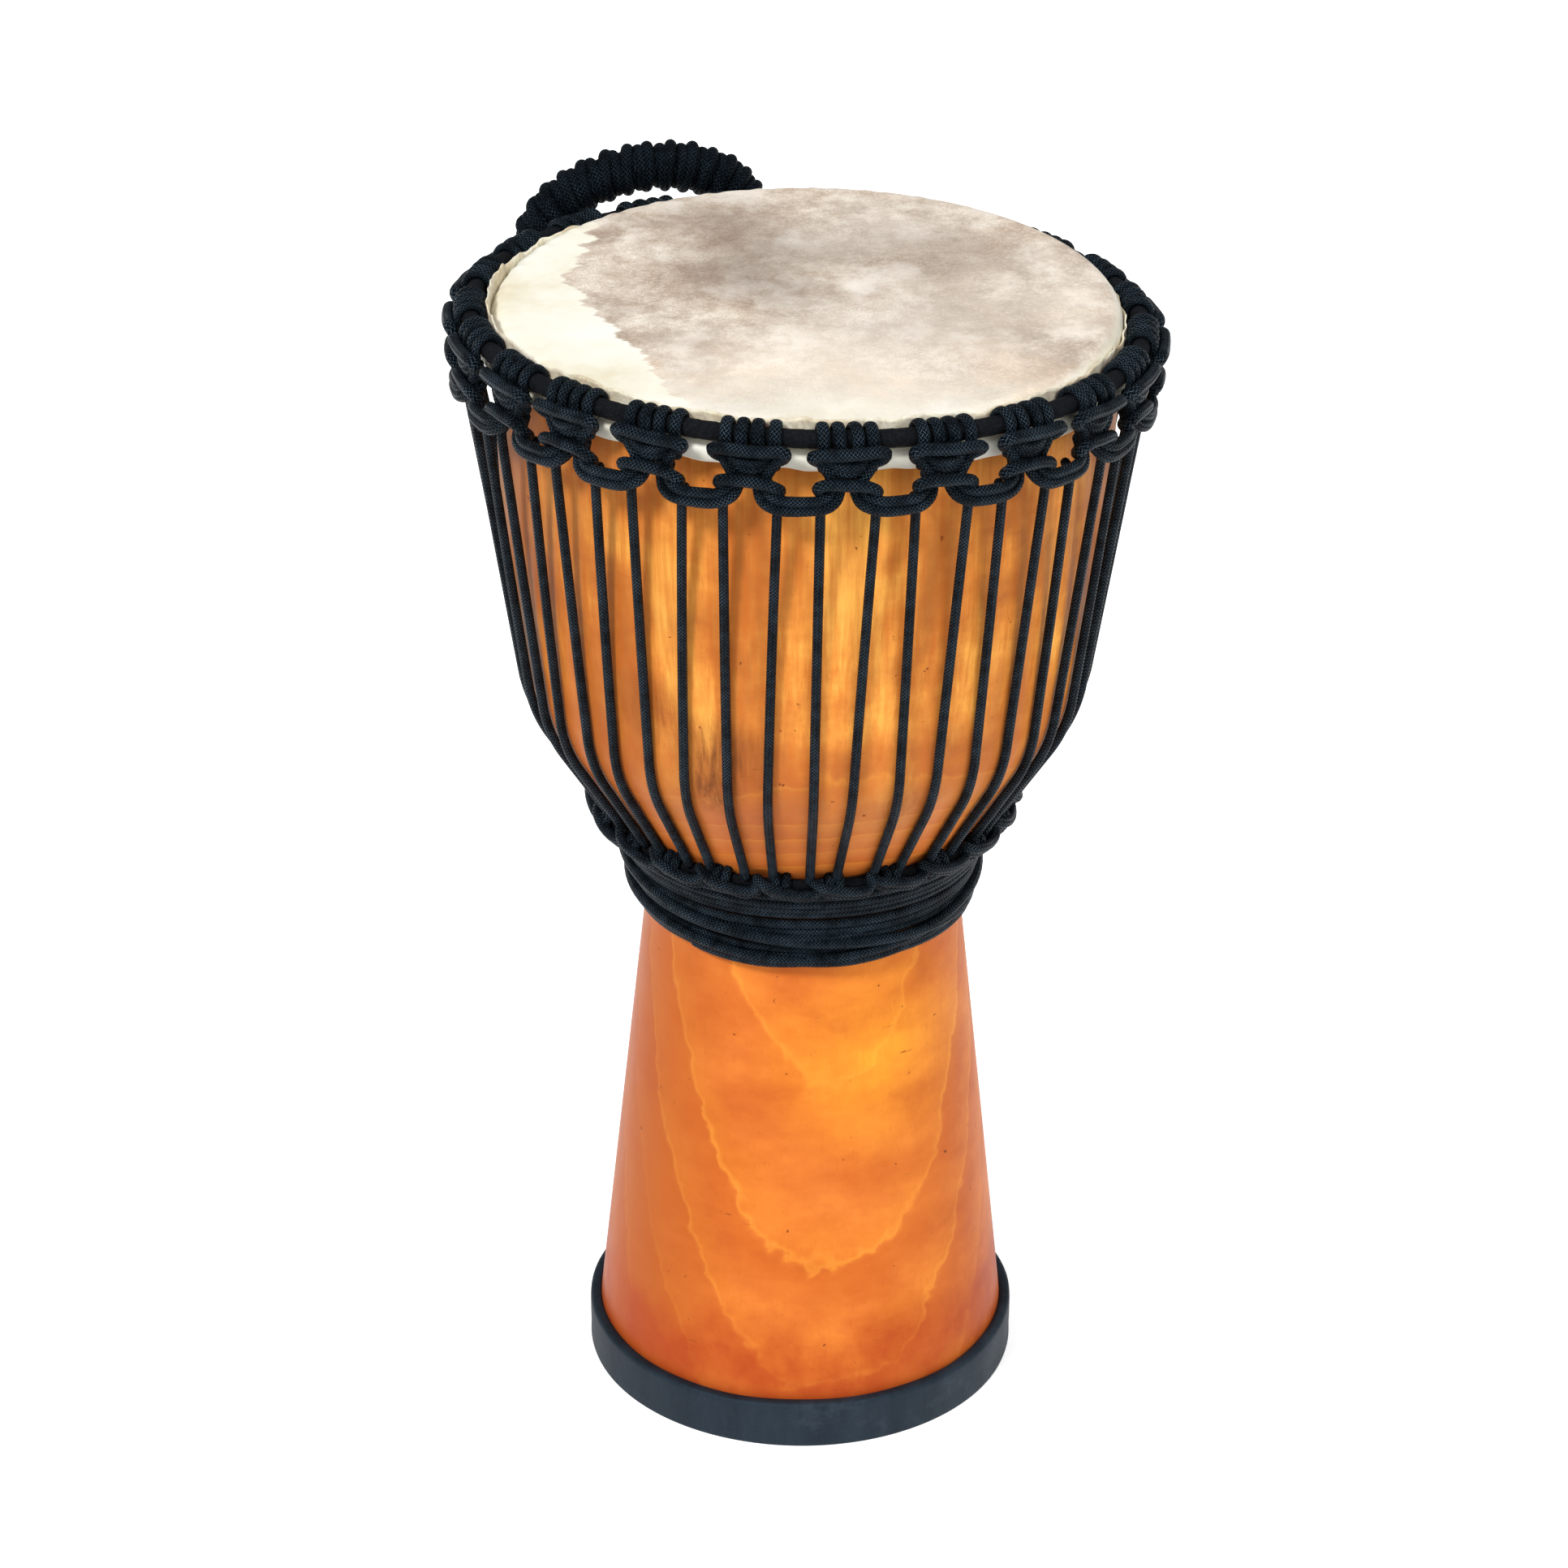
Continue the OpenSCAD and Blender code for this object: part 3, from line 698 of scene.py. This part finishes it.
def rubber_material():
    """Slate rubber with scuffs and dust."""
    p = Paint("slate_rubber")
    streak = p.noise(1.0, 5.0, 0.7, p.scaled(p.place, 45, 45, 8))
    grit = p.noise(600.0, 4.0, 0.75)
    scuff = p.noise(26.0, 6.0, 0.7)
    colour = p.ramp(streak, (0.3, (0.006, 0.0095, 0.015)), (0.7, (0.015, 0.022, 0.032)))
    colour = p.mix(p.ramp(scuff, (0.56, 0.0), (0.75, 0.55)), colour, (0.045, 0.060, 0.075))
    colour = p.mix(p.ramp(grit, (0.55, 0.0), (0.8, 0.4)), colour, (0.030, 0.040, 0.050))
    p.set(Base_Color=colour, Roughness=0.6, Specular_IOR_Level=0.22, Specular_Tint=BLUISH)
    p.set(Normal=p.bump(p.maths("ADD", grit, scuff), 0.0004, 0.6))
    return p.material


def steel_material():
    """Mild steel rod, dulled by handling and light rust."""
    p = Paint("ring_steel")
    rust = p.noise(120.0, 6.0, 0.7)
    colour = p.ramp(rust, (0.45, (0.28, 0.28, 0.29)), (0.7, (0.16, 0.08, 0.045)))
    p.set(Base_Color=colour, Metallic=p.ramp(rust, (0.5, 1.0), (0.7, 0.2)),
          Roughness=p.maths("MULTIPLY_ADD", rust, 0.5, 0.25))
    p.set(Normal=p.bump(rust, 0.0002, 0.5))
    return p.material


WOOD = wood_material()
ROPE = rope_material()
CLOTH = cloth_material()
SKIN = skin_material()
COLLAR = collar_material()
RUBBER = rubber_material()
STEEL = steel_material()
HANDLE_ROPE = rope_material("handle_rope", fuzz=0.8)


# ---------------------------------------------------------------- shell, rubber, skin
def shell_outline(a):
    """Outline of the turned body, from the foot up the outside and down the bore."""
    cone_mid = [WAIST_R + WAIST_ARC, WAIST_Z]
    stem_mid = [WAIST_R + STEM_ARC, WAIST_Z]
    lean = math.degrees(math.atan((FOOT_R - WAIST_R) / (WAIST_Z - RUBBER_H - STEM_ARC * 0.05)))
    line = [[FOOT_BORE_R, LIP_T], [FOOT_R - 1, LIP_T], [FOOT_R, LIP_T + 1]]
    arc_low = arc(stem_mid, STEM_ARC, 180 + lean, 180, 5)
    foot = np.array([FOOT_R, RUBBER_H])
    for share in np.linspace(0, 0.97, 12):
        line.append((foot + (np.array(arc_low[0]) - foot) * share).tolist())
    line += arc_low
    line += arc(cone_mid, WAIST_ARC, 177, 180 - CONE_LEAN, 14)
    line += arc(SHOULDER_MID, SHOULDER_ARC, -CONE_LEAN, -WALL_LEAN, 14)
    wall_foot = line[-1]
    wall_top = [BOWL_R, SHELL_TOP - 13]
    wall_pull = [BOWL_R, SHELL_TOP - 110]
    line += cubic(wall_foot, [wall_foot[0] + 8, wall_foot[1] + 54], wall_pull, wall_top, 22)[1:]
    line += arc([BOWL_R - EDGE_ROUND, SHELL_TOP - EDGE_ROUND], EDGE_ROUND, 0, 90, 8)
    line += [[RIM_BORE_R + 3, SHELL_TOP - 1.5], [RIM_BORE_R, SHELL_TOP - EDGE_ROUND]]
    line += cubic([RIM_BORE_R, SHELL_TOP - 40], [RIM_BORE_R - 2, 440], [THROAT_R, 400],
                  [THROAT_R, WAIST_Z + 20], 24)
    line += cubic([THROAT_R, WAIST_Z], [THROAT_R, 200], [FOOT_BORE_R - 14, 100],
                  [FOOT_BORE_R, LIP_T + 8], 16)
    return line


shell = lathe("shell_wood", shell_outline, WOOD)
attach(shell, "drum")
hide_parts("shell")


def rubber_outline(a):
    """The rubber band, a little uneven along its top edge."""
    top = RUBBER_H + wave(a, (0.25, 5, 1.0), (0.2, 11, 2.0)) - 0.3
    line = [[LIP_R, 0], [RUBBER_R - 1.2, 0], [RUBBER_R - 0.3, 0.4], [RUBBER_R, 1.4]]
    line += [[RUBBER_R - 0.15, 8], [RUBBER_R, 16], [RUBBER_R, top - 3.2]]
    line += arc([RUBBER_R - 2.5, top - 2.5], 2.5, 0, 90, 6)[1:]
    line += [[FOOT_R + 0.8, top], [FOOT_R + 0.05, top - 0.8], [FOOT_R, LIP_T], [LIP_R, LIP_T]]
    return line


rubber = lathe("foot_rubber_band", rubber_outline, RUBBER)
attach(rubber, "drum")
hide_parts("rubber_foot_ring")


def skin_outline(a):
    """The skin at one angle: playing surface, edge, wall, and the fold round the flesh ring."""
    outer = BOWL_R + SKIN_T + 0.05
    pucker = max(0.0, math.sin(math.radians(-a) - 0.9)) * wave(a, (0.5, 67, 0.0), (0.3, 101, 1.0))
    edge = [outer - 9, DRUM_H - 9]
    line = [[r, DRUM_H] for r in (0.02, 0.06, *np.linspace(1, outer - 11, 24))]
    line += [[p[0] + 0.3 * pucker, p[1] + 0.4 * pucker] for p in arc(edge, 9, 84, 12, 9)]
    level = crown_height(a) - FLESH_DROP
    line += [[outer, (DRUM_H - 9 + level + 5) / 2 + 3], [outer, level + 4]]
    lump = wave(a, (0.35, 23, 0.5), (0.3, 37, 1.0), (0.25, 61, 2.0))
    hem = 2.6 + lump
    line += [[FLESH_R + FOLD_R * math.cos(t) * 0.97,
              level + FOLD_R * math.sin(t) - hem * max(0, -math.sin(t))]
             for t in np.radians(np.linspace(125, -75, 12))]
    line += [[FLESH_R - 2.4, level - FOLD_R - hem - 0.3], [BOWL_R + 0.3, level - FOLD_R - hem + 0.5]]
    line += [[BOWL_R + 0.1, level + 2], [BOWL_R + 0.06, DRUM_H - 9.5]]
    line += arc([BOWL_R - 8, DRUM_H - 9], 8.06, 0, 88, 7)
    line += [[120, DRUM_H - 0.95], [0.02, DRUM_H - 0.95]]
    return line


skin = lathe("goat_skin_head", skin_outline, SKIN, turns=480)
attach(skin, "drum")


def collar_outline(a):
    """The trimmed edge of the skin that stands up behind the crown ring, ragged along its top."""
    ragged = wave(a, (0.9, 7, 0.3), (0.7, 17, 1.2), (0.45, 41, 0.5), (0.3, 83, 2.2))
    notch = 8.0 * max(0.0, wave(a, (1.0, 13, 0.9)) - 0.8)
    top = crown_height(a) + 6.6 + ragged - notch
    foot = crown_height(a) - FLESH_DROP + 2.5
    line = []
    for share in np.linspace(0, 1, 9):
        lean = 0.9 * share * share + share * wave(a, (0.4, 29, 0.0), (0.35, 47, 1.0), (0.2, 97, 0.4))
        line.append([BOWL_R + 1.9 + lean, foot + (top - foot) * share])
    inner = [[r - 0.75, z - 0.1] for r, z in reversed(line)]
    return line + inner


collar = lathe("goat_skin_collar", collar_outline, COLLAR, turns=720)
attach(collar, "drum")
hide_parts("goat_skin")


# ---------------------------------------------------------------- rings wrapped in cloth
def wound_ring(name, centre_line, cloth_r, strip, node):
    """A closed tube round a ring's rod: its radius grows along each turn of the wound strip."""
    ropes = Ropes()
    path = np.array(centre_line)
    length = np.cumsum(np.linalg.norm(np.roll(path, -1, 0) - path, axis=1))
    turns = round(length[-1] / strip)
    phase = (length / length[-1] * turns) % 1.0
    sizes = cloth_r * (0.95 + 0.05 * phase)
    ropes.lay(path, sizes, sides=20, closed=True)
    ring = ropes.piece(name, CLOTH)
    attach(ring, "drum")
    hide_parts(node)


angles = np.linspace(0, 360, 900, endpoint=False)
wound_ring("crown_ring_wrap", crown_place([rim(a, 0, 0, 0) for a in angles]), CROWN_CLOTH_R, 9.0,
           "crown_ring_cloth")
wound_ring("bottom_ring_wrap", [round_drum(a, BOTTOM_R, BOTTOM_Z) for a in angles],
           BOTTOM_CLOTH_R, 8.0, "bottom_ring_cloth")


# ---------------------------------------------------------------- crown chain
def loop_path(a, x, slant, lift):
    """One loop over the crown ring, from behind it, over the top and down behind the bar.

    Returns its points and, for each, the direction in which the tight rope is pressed flat."""
    r = CROWN_CLOTH_R + 1.8 + lift
    path = []
    for t in np.linspace(215, -22, 13):
        share = (215 - t) / 237
        path.append([x + slant * (share - 0.5), r * math.cos(math.radians(t)),
                     r * math.sin(math.radians(t))])
    path += [[x + slant * 0.6, 5.9, -6.0], [x + slant * 0.6, 5.0, -10.0], [x + slant * 0.6, 4.4, -13.5]]
    path = smooth(path)
    press = unit(np.column_stack([path[:, 0] * 0, path[:, 1], np.maximum(path[:, 2], -3.0)]))
    angle = math.radians(a) + path[:, 0] / CHAIN_R
    outward = np.column_stack([np.sin(angle), -np.cos(angle), angle * 0])
    flat = outward * press[:, 1:2] + np.array([0, 0, 1.0]) * press[:, 2:3]
    return crown_place([rim(a, *q) for q in path]), flat @ TILTED.T


def chain_strand(a, points, jitter):
    """A strand of the chain through points [x, out, up] measured at angle a, moved a little."""
    moved = [[x + rng.uniform(-1, 1) * jitter, out, up + rng.uniform(-1, 1) * jitter]
             for x, out, up in points]
    return crown_place([rim(a, *q) for q in smooth(moved)])


def knot_strands(skew):
    """Strands of one knot in front of its loops: each has points [x, out, up], jitter and radius."""
    bar = [[-9, 4.2, -10.6], [-13.5, 5.0, -10.2], [-17.0, 7.4, -8.0], [-17.9, 10.2, -5.0 + skew],
           [-14.5, 11.3, -3.7 + skew], [-8, 11.5, -3.7 + skew / 2], [0, 11.5, -4.0],
           [8, 11.5, -3.7 - skew / 2], [14.5, 11.3, -3.6 - skew], [17.9, 10.2, -4.8 - skew],
           [17.0, 7.4, -8.0], [13.5, 5.0, -10.2], [9, 4.2, -10.6]]
    upper_filler = [[-10, 6.2, -7.5], [-8, 7.8, -9.6], [-3, 8.8, -11.2], [3, 8.8, -11.0],
                    [7, 7.6, -9.2], [8.5, 6.0, -7.4]]
    lower_filler = [[-9.5, 4.6, -9.5], [-6, 6.4, -13.4], [0, 7.0, -15.0], [6, 6.4, -13.6],
                    [9.5, 4.6, -9.5]]
    back_bar = [[-9, 3.4, -16.5], [0, 4.2, -17.4], [9, 3.4, -16.5]]
    left_leg = [[-13.5, 5.4, -7.5], [-12.3, 6.2, -11.5], [-9.8, 6.4, -15.5], [-8.2, 5.6, -19.5],
                [-8.8, 3.6, -23.5]]
    right_leg = [[13.5, 5.4, -7.5], [12.3, 6.2, -11.5], [10, 6.4, -15.5], [8.6, 5.6, -19.5],
                 [9, 3.6, -23.5]]
    low_bar = [[-7.0, 3.0, -25.0], [-11.0, 3.6, -25.8], [-14.4, 6.4, -24.6], [-14.2, 9.2, -21.8],
               [-9, 10.1, -20.5], [0, 10.3, -20.7], [8, 10.1, -21.2], [12.8, 9.2, -22.8],
               [15.6, 6.6, -25.6], [15.0, 3.8, -28.0]]
    return ((bar, 0.2, 3.25), (upper_filler, 0.3, 2.8), (lower_filler, 0.3, 2.9), (back_bar, 0.2, 2.9),
            (left_leg, 0.4, 2.9), (right_leg, 0.4, 2.9), (low_bar, 0.3, 3.05))


# Each loop of a knot: x and slant. Each strand of a link: its points from the knot before it
KNOT_LOOPS = ((-12.8, 1.4), (-4.9, 3.0), (3.4, 2.6), (12.4, 0.8))
LINK_STRANDS = (
    [[8.6, 1.8, -20.0], [8.4, 3.0, -23.5], [10.4, 6.0, -27.6], [15, 8.2, -29.6], [20, 8.8, -30.0],
     [31, 8.8, -29.8], [36, 8.2, -29.2], [40.4, 6.0, -27.0], [42.3, 3.0, -23.0], [42.0, 1.8, -19.5]],
    [[4.6, 1.0, -21.0], [4.2, 2.4, -25.8], [6.8, 5.6, -31.4], [12.2, 7.9, -34.3], [19, 8.5, -35.2],
     [31, 8.5, -35.0], [38.6, 7.9, -33.7], [44.0, 5.6, -30.6], [46.4, 2.4, -25.4], [46.0, 1.0, -21.0]])

loops, knots, links = Ropes(), Ropes(), Ropes()
for k in range(KNOTS):
    a = KNOT_START + 360 / KNOTS * k + rng.uniform(-0.5, 0.5)
    for x, slant in KNOT_LOOPS:
        path, flat = loop_path(a, x + rng.uniform(-0.5, 0.5), slant * rng.uniform(0.3, 1.5),
                               rng.uniform(0, 0.4))
        loops.lay(path, 3.15, squash=0.64, squash_axis=flat)
    for points, jitter, radius in knot_strands(rng.uniform(-0.9, 0.9)):
        knots.lay(chain_strand(a, points, jitter), radius)
    for points in LINK_STRANDS:
        links.lay(chain_strand(a, points, 0.3), 2.8)


# ---------------------------------------------------------------- tension rope
def run_path(top_a, foot_a, tuck):
    """One run: from behind its link, straight to the shoulder, round it, and down the cone."""
    z = crown_height(top_a) - 28
    r = CROWN_R + 1.2 + 35 * math.tan(CROWN_TILT) * math.cos(math.radians(top_a) - CROWN_HIGH)
    reach = np.array([r, z]) - SHOULDER_MID
    touch = math.degrees(math.atan2(reach[1], reach[0]) - math.acos(RUN_R / np.linalg.norm(reach)))
    line = [[r - 3.0, z - 4.5], [r - 1.2, z - 7], [r, z - 11]]
    bend = arc(SHOULDER_MID, RUN_R, touch, -CONE_LEAN, 8)
    start = np.array(line[-1])
    for share in (0.25, 0.5, 0.75):
        line.append((start + (np.array(bend[0]) - start) * share).tolist())
    line += bend
    low = bend[-1]
    slope = math.tan(math.radians(CONE_LEAN))
    for drop in (0.25, 0.5, 0.75, 1.0):
        fall = (low[1] - RUN_FOOT_Z) * drop
        line.append([low[0] - slope * fall, low[1] - fall])
    line.append([line[-1][0] - 4.5 + tuck, RUN_FOOT_Z - 7])
    top_z, foot_z = line[0][1], line[-1][1]
    path = []
    for r, z in line:
        share = (top_z - z) / (top_z - foot_z)
        path.append(round_drum(top_a + (foot_a - top_a) * share, r, z))
    return smooth(path, 3.0)


runs = Ropes()
for k in range(KNOTS):
    middle = KNOT_START + 360 / KNOTS * (k + 0.5)
    for side in (-1, 1):
        top_a = middle + side * math.degrees(RUN_HALF / CROWN_R) + rng.uniform(-0.3, 0.3)
        drift = 6.5 * math.sin(math.radians(middle + 2)) - 1.9 + rng.uniform(-0.5, 0.5)
        foot_a = middle + side * 5.0 + drift
        runs.lay(run_path(top_a, foot_a, rng.uniform(0, 1.0)), ROPE_R - 0.15)


# ---------------------------------------------------------------- bottom chain and waist wraps
def low_point(a, x, out, up):
    """A point near the bottom ring: x along it, out from the cone's surface and up the cone."""
    angle = math.radians(a) + x / BOTTOM_R
    lean = math.radians(CONE_LEAN)
    r = BOTTOM_R + out * math.cos(lean) + up * math.sin(lean)
    z = BOTTOM_Z - out * math.sin(lean) + up * math.cos(lean)
    return np.array([r * math.sin(angle), -r * math.cos(angle), z])


low_loops, low_links = Ropes(), Ropes()
for k in range(KNOTS):
    a = KNOT_START + 360 / KNOTS * k + 2.0 + rng.uniform(-0.8, 0.8)
    r = BOTTOM_CLOTH_R + ROPE_R
    for x in (-2.6, 2.6):
        path = [low_point(a, x + math.sin(math.radians(t)), r * math.cos(math.radians(t)),
                          r * math.sin(math.radians(t))) for t in np.linspace(110, -85, 10)]
        low_loops.lay(smooth(path), 2.5)
    for row, depth in ((0, 1.0), (1, 0.0)):
        up = 3.6 - 5.0 * row
        out = 4.2 + depth
        path = [[-11, out - 3.5, up + 3.6], [-6.5, out, up + 2.6], [0, out + 1.6, up + 1.2],
                [7, out + 2.0, up - 0.6], [13, out + 1.8, up - 2.0], [17.6, out + 0.8, up - 2.4],
                [20.2, out - 1.2, up - 0.6], [20.6, out - 3.2, up + 2.4]]
        path = [[x, o + rng.uniform(-0.2, 0.2), u + rng.uniform(-0.4, 0.4)] for x, o, u in path]
        low_links.lay(smooth([low_point(a, x, o, u) for x, o, u in path]), 2.7)


def waist_wrap_path(turns, steps=96):
    """Spare rope wound down the waist as one helix, its turns a little uneven and crossing."""
    path = []
    mid_r = WAIST_R + WAIST_ARC
    reach = WAIST_ARC - ROPE_R - 0.05
    for i in range(int(turns * steps) + 1):
        t = i / steps
        a = 360 * t + 40
        climb = WRAP_TOP - WRAP_PITCH * t + wave(a, (0.35, 1, 0.6), (0.25, 2, 2.0), (0.18, 5, 1.0))
        climb += 0.5 * math.sin(t * 2.1) + 0.25 * math.sin(t * 5.3)
        climb = max(climb, WRAP_FOOT + wave(a, (1.1, 1, 2.6), (0.4, 2, 1.0)))
        lift = 0.25 + 0.25 * math.sin(t * 7.7) + 0.5 * max(0, math.sin(t * 1.7)) ** 6
        r = mid_r - (reach - lift) * math.cos(math.radians(climb))
        z = WAIST_Z + (reach - lift) * math.sin(math.radians(climb))
        path.append(round_drum(a, r, z))
    return np.array(path)


def crossing_path(start, end, high, low, lift):
    """A slack strand that crosses over the wraps, from one angle and height to another."""
    path = []
    mid_r = WAIST_R + WAIST_ARC
    for share in np.linspace(0, 1, 40):
        climb = high + (low - high) * (3 * share**2 - 2 * share**3)
        rise = ROPE_R * 1.7 * min(1, 6 * share, 6 * (1 - share)) * lift
        reach = WAIST_ARC - ROPE_R - rise
        path.append(round_drum(start + (end - start) * share,
                               mid_r - reach * math.cos(math.radians(climb)),
                               WAIST_Z + reach * math.sin(math.radians(climb))))
    return np.array(path)


# Slack crossings: angle round the drum at each end, height on the waist's arc at each, and lift
CROSSINGS = ((-118, 40, 9.5, 3.4, 1.0), (-85, 95, 14.5, 6.0, 1.0), (-40, 120, 3.0, 11.5, 0.95),
             (-130, 20, 19.0, 11.0, 0.9), (120, 270, 8.5, 3.4, 1.0), (100, 240, 15.0, 7.0, 0.9))

wraps = Ropes()
wraps.lay(waist_wrap_path(WRAP_TURNS), ROPE_R)
for start, end, high, low, lift in CROSSINGS:
    wraps.lay(crossing_path(start, end, high, low, lift), ROPE_R)

# Each job of the rope on the drum is one piece, shown in place of its CAD node
for ropes, name, node in ((loops, "crown_loop_rope", "crown_loops"),
                          (knots, "crown_knot_rope", "crown_knots"),
                          (links, "crown_link_rope", "crown_links"),
                          (runs, "tension_rope_runs", "tension_rope"),
                          (low_loops, "bottom_loop_rope", "bottom_loops"),
                          (low_links, "bottom_link_rope", "bottom_links"),
                          (wraps, "waist_wrap_rope", "waist_wraps")):
    piece = ropes.piece(name, ROPE)
    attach(piece, "drum")
    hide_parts(node)


# ---------------------------------------------------------------- handle
def handle_place(points):
    """Points [x, out, up] in the handle's own plane, moved to where they are."""
    moved = np.array([[x, -(HANDLE_PLANE + out), up] for x, out, up in points])
    return crown_place(moved @ turn("z", math.radians(HANDLE_ANGLE)).T)


def handle_line(t):
    """Middle line of the handle at angle t, from its right foot at 0 to its left foot at 180."""
    return np.array([OVAL_HALF * math.cos(t), 0.0, OVAL_RISE * math.sin(t) + OVAL_Z])


def handle_ring(t, size, tilt, out_size):
    """A closed loop round the handle's middle line, tilted along it."""
    mid = handle_line(t)
    ahead = unit(handle_line(t + 0.01) - handle_line(t - 0.01))
    across = np.array([0.0, 1.0, 0.0])
    up = np.cross(ahead, across)
    path = []
    for phi in np.linspace(0, 2 * math.pi, 40, endpoint=False):
        path.append(mid + up * size * math.cos(phi) + across * out_size * math.sin(phi)
                    + ahead * tilt * math.sin(phi))
    return handle_place(path)


# Rope sleeve over a soft core: every second ring is fatter and lies more slanted
sleeve = Ropes()
sweep = np.linspace(math.radians(4), math.radians(174), 60)
sleeve.lay(handle_place([handle_line(t) for t in sweep]), SLEEVE_R, sides=20)
for i in range(SLEEVE_RINGS):
    t = math.radians(5 + 168 * (i + rng.uniform(-0.15, 0.15)) / (SLEEVE_RINGS - 1))
    tilt = 5.0 + rng.uniform(-1.2, 1.2) if i % 2 else 2.6 + rng.uniform(-0.8, 0.8)
    swell = rng.uniform(-0.35, 0.35) + (0.9 if i % 2 else -0.7)
    sleeve.lay(handle_ring(t, 10.1 + swell, tilt, 9.7 + 0.5 * swell), SLEEVE_ROPE_R, closed=True)
piece = sleeve.piece("handle_sleeve", HANDLE_ROPE)
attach(piece, "handle")
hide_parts("handle_cover")

eyes, beckets = Ropes(), Ropes()
for side in (-1, 1):
    eye = [[side * HANDLE_HALF, EYE_R * math.sin(t), HINGE_Z + EYE_R * math.cos(t)]
           for t in np.linspace(0, 2 * math.pi, 32, endpoint=False)]
    eyes.lay(handle_place(eye), ROPE_R, closed=True)
    pin = [[side * HANDLE_HALF + along, out, HINGE_Z]
           for along, out in ((-9.2, -12.5), (-9.2, -5), (-7.7, -1.5), (-4.2, 0),
                              (4.2, 0), (7.7, -1.5), (9.2, -5), (9.2, -12.5))]
    beckets.lay(smooth(handle_place(pin)), ROPE_R)
piece = eyes.piece("handle_eyes", HANDLE_ROPE)
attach(piece, "handle")
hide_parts("handle_core")
piece = beckets.piece("handle_becket_rope", ROPE)
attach(piece, "drum")
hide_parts("handle_beckets")

for name in ("crown_ring", "bottom_ring", "flesh_ring"):
    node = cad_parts[name]
    node.data.materials.clear()
    node.data.materials.append(STEEL)


# ---------------------------------------------------------------- floor, light and camera
def floor_material():
    """Matte white studio floor."""
    p = Paint("studio_floor")
    grain = p.noise(30.0, 3.0, 0.5)
    p.set(Base_Color=p.ramp(grain, (0.3, 0.90), (0.7, 0.93)), Roughness=0.9, Specular_IOR_Level=0.1)
    p.set(Emission_Color=(1.0, 1.0, 1.0), Emission_Strength=0.45)
    return p.material


SIDE = 9000
floor = finish_mesh("studio_floor", [[-SIDE, -SIDE, 0], [SIDE, -SIDE, 0], [SIDE, SIDE, 0],
                                     [-SIDE, SIDE, 0]], [(0, 1, 2, 3)], floor_material())

world = bpy.data.worlds.new("studio")
bpy.context.scene.world = world
world.use_nodes = True
world.node_tree.nodes["Background"].inputs[0].default_value = (1, 1, 1, 1)
world.node_tree.nodes["Background"].inputs[1].default_value = 0.25
bpy.context.scene.view_settings.view_transform = "Standard"


def soft_sun(name, azimuth, elevation, strength, softness):
    """A broad, soft light from far away. Azimuth 0 stands in front of the drum, positive to the right."""
    data = bpy.data.lights.new(name, "SUN")
    data.energy = strength
    data.angle = math.radians(softness)
    light = bpy.data.objects.new(name, data)
    light.rotation_euler = (math.radians(90 - elevation), 0, math.radians(azimuth))
    bpy.context.collection.objects.link(light)


soft_sun("key_light", -34, 44, 2.75, 11)
soft_sun("fill_light", 40, 35, 1.3, 40)
soft_sun("top_light", 150, 70, 0.8, 50)

# Camera: its lens in millimetres, place in metres, and how far it looks down and rolls in degrees
LENS = 123.4
CAMERA_AT = (-0.0107, -2.590, 1.735)
LOOKS_DOWN = math.radians(28.06)
ROLL = math.radians(0.27)

camera_data = bpy.data.cameras.new("camera")
camera_data.lens = LENS
camera_data.sensor_width = 36.0
camera = bpy.data.objects.new("camera", camera_data)
camera.location = CAMERA_AT
camera.rotation_mode = "QUATERNION"
look = Vector((0, math.cos(LOOKS_DOWN), -math.sin(LOOKS_DOWN)))
aim = look.to_track_quat("-Z", "Y")
camera.rotation_quaternion = aim @ Quaternion((0, 0, 1), ROLL)
bpy.context.collection.objects.link(camera)
bpy.context.scene.camera = camera
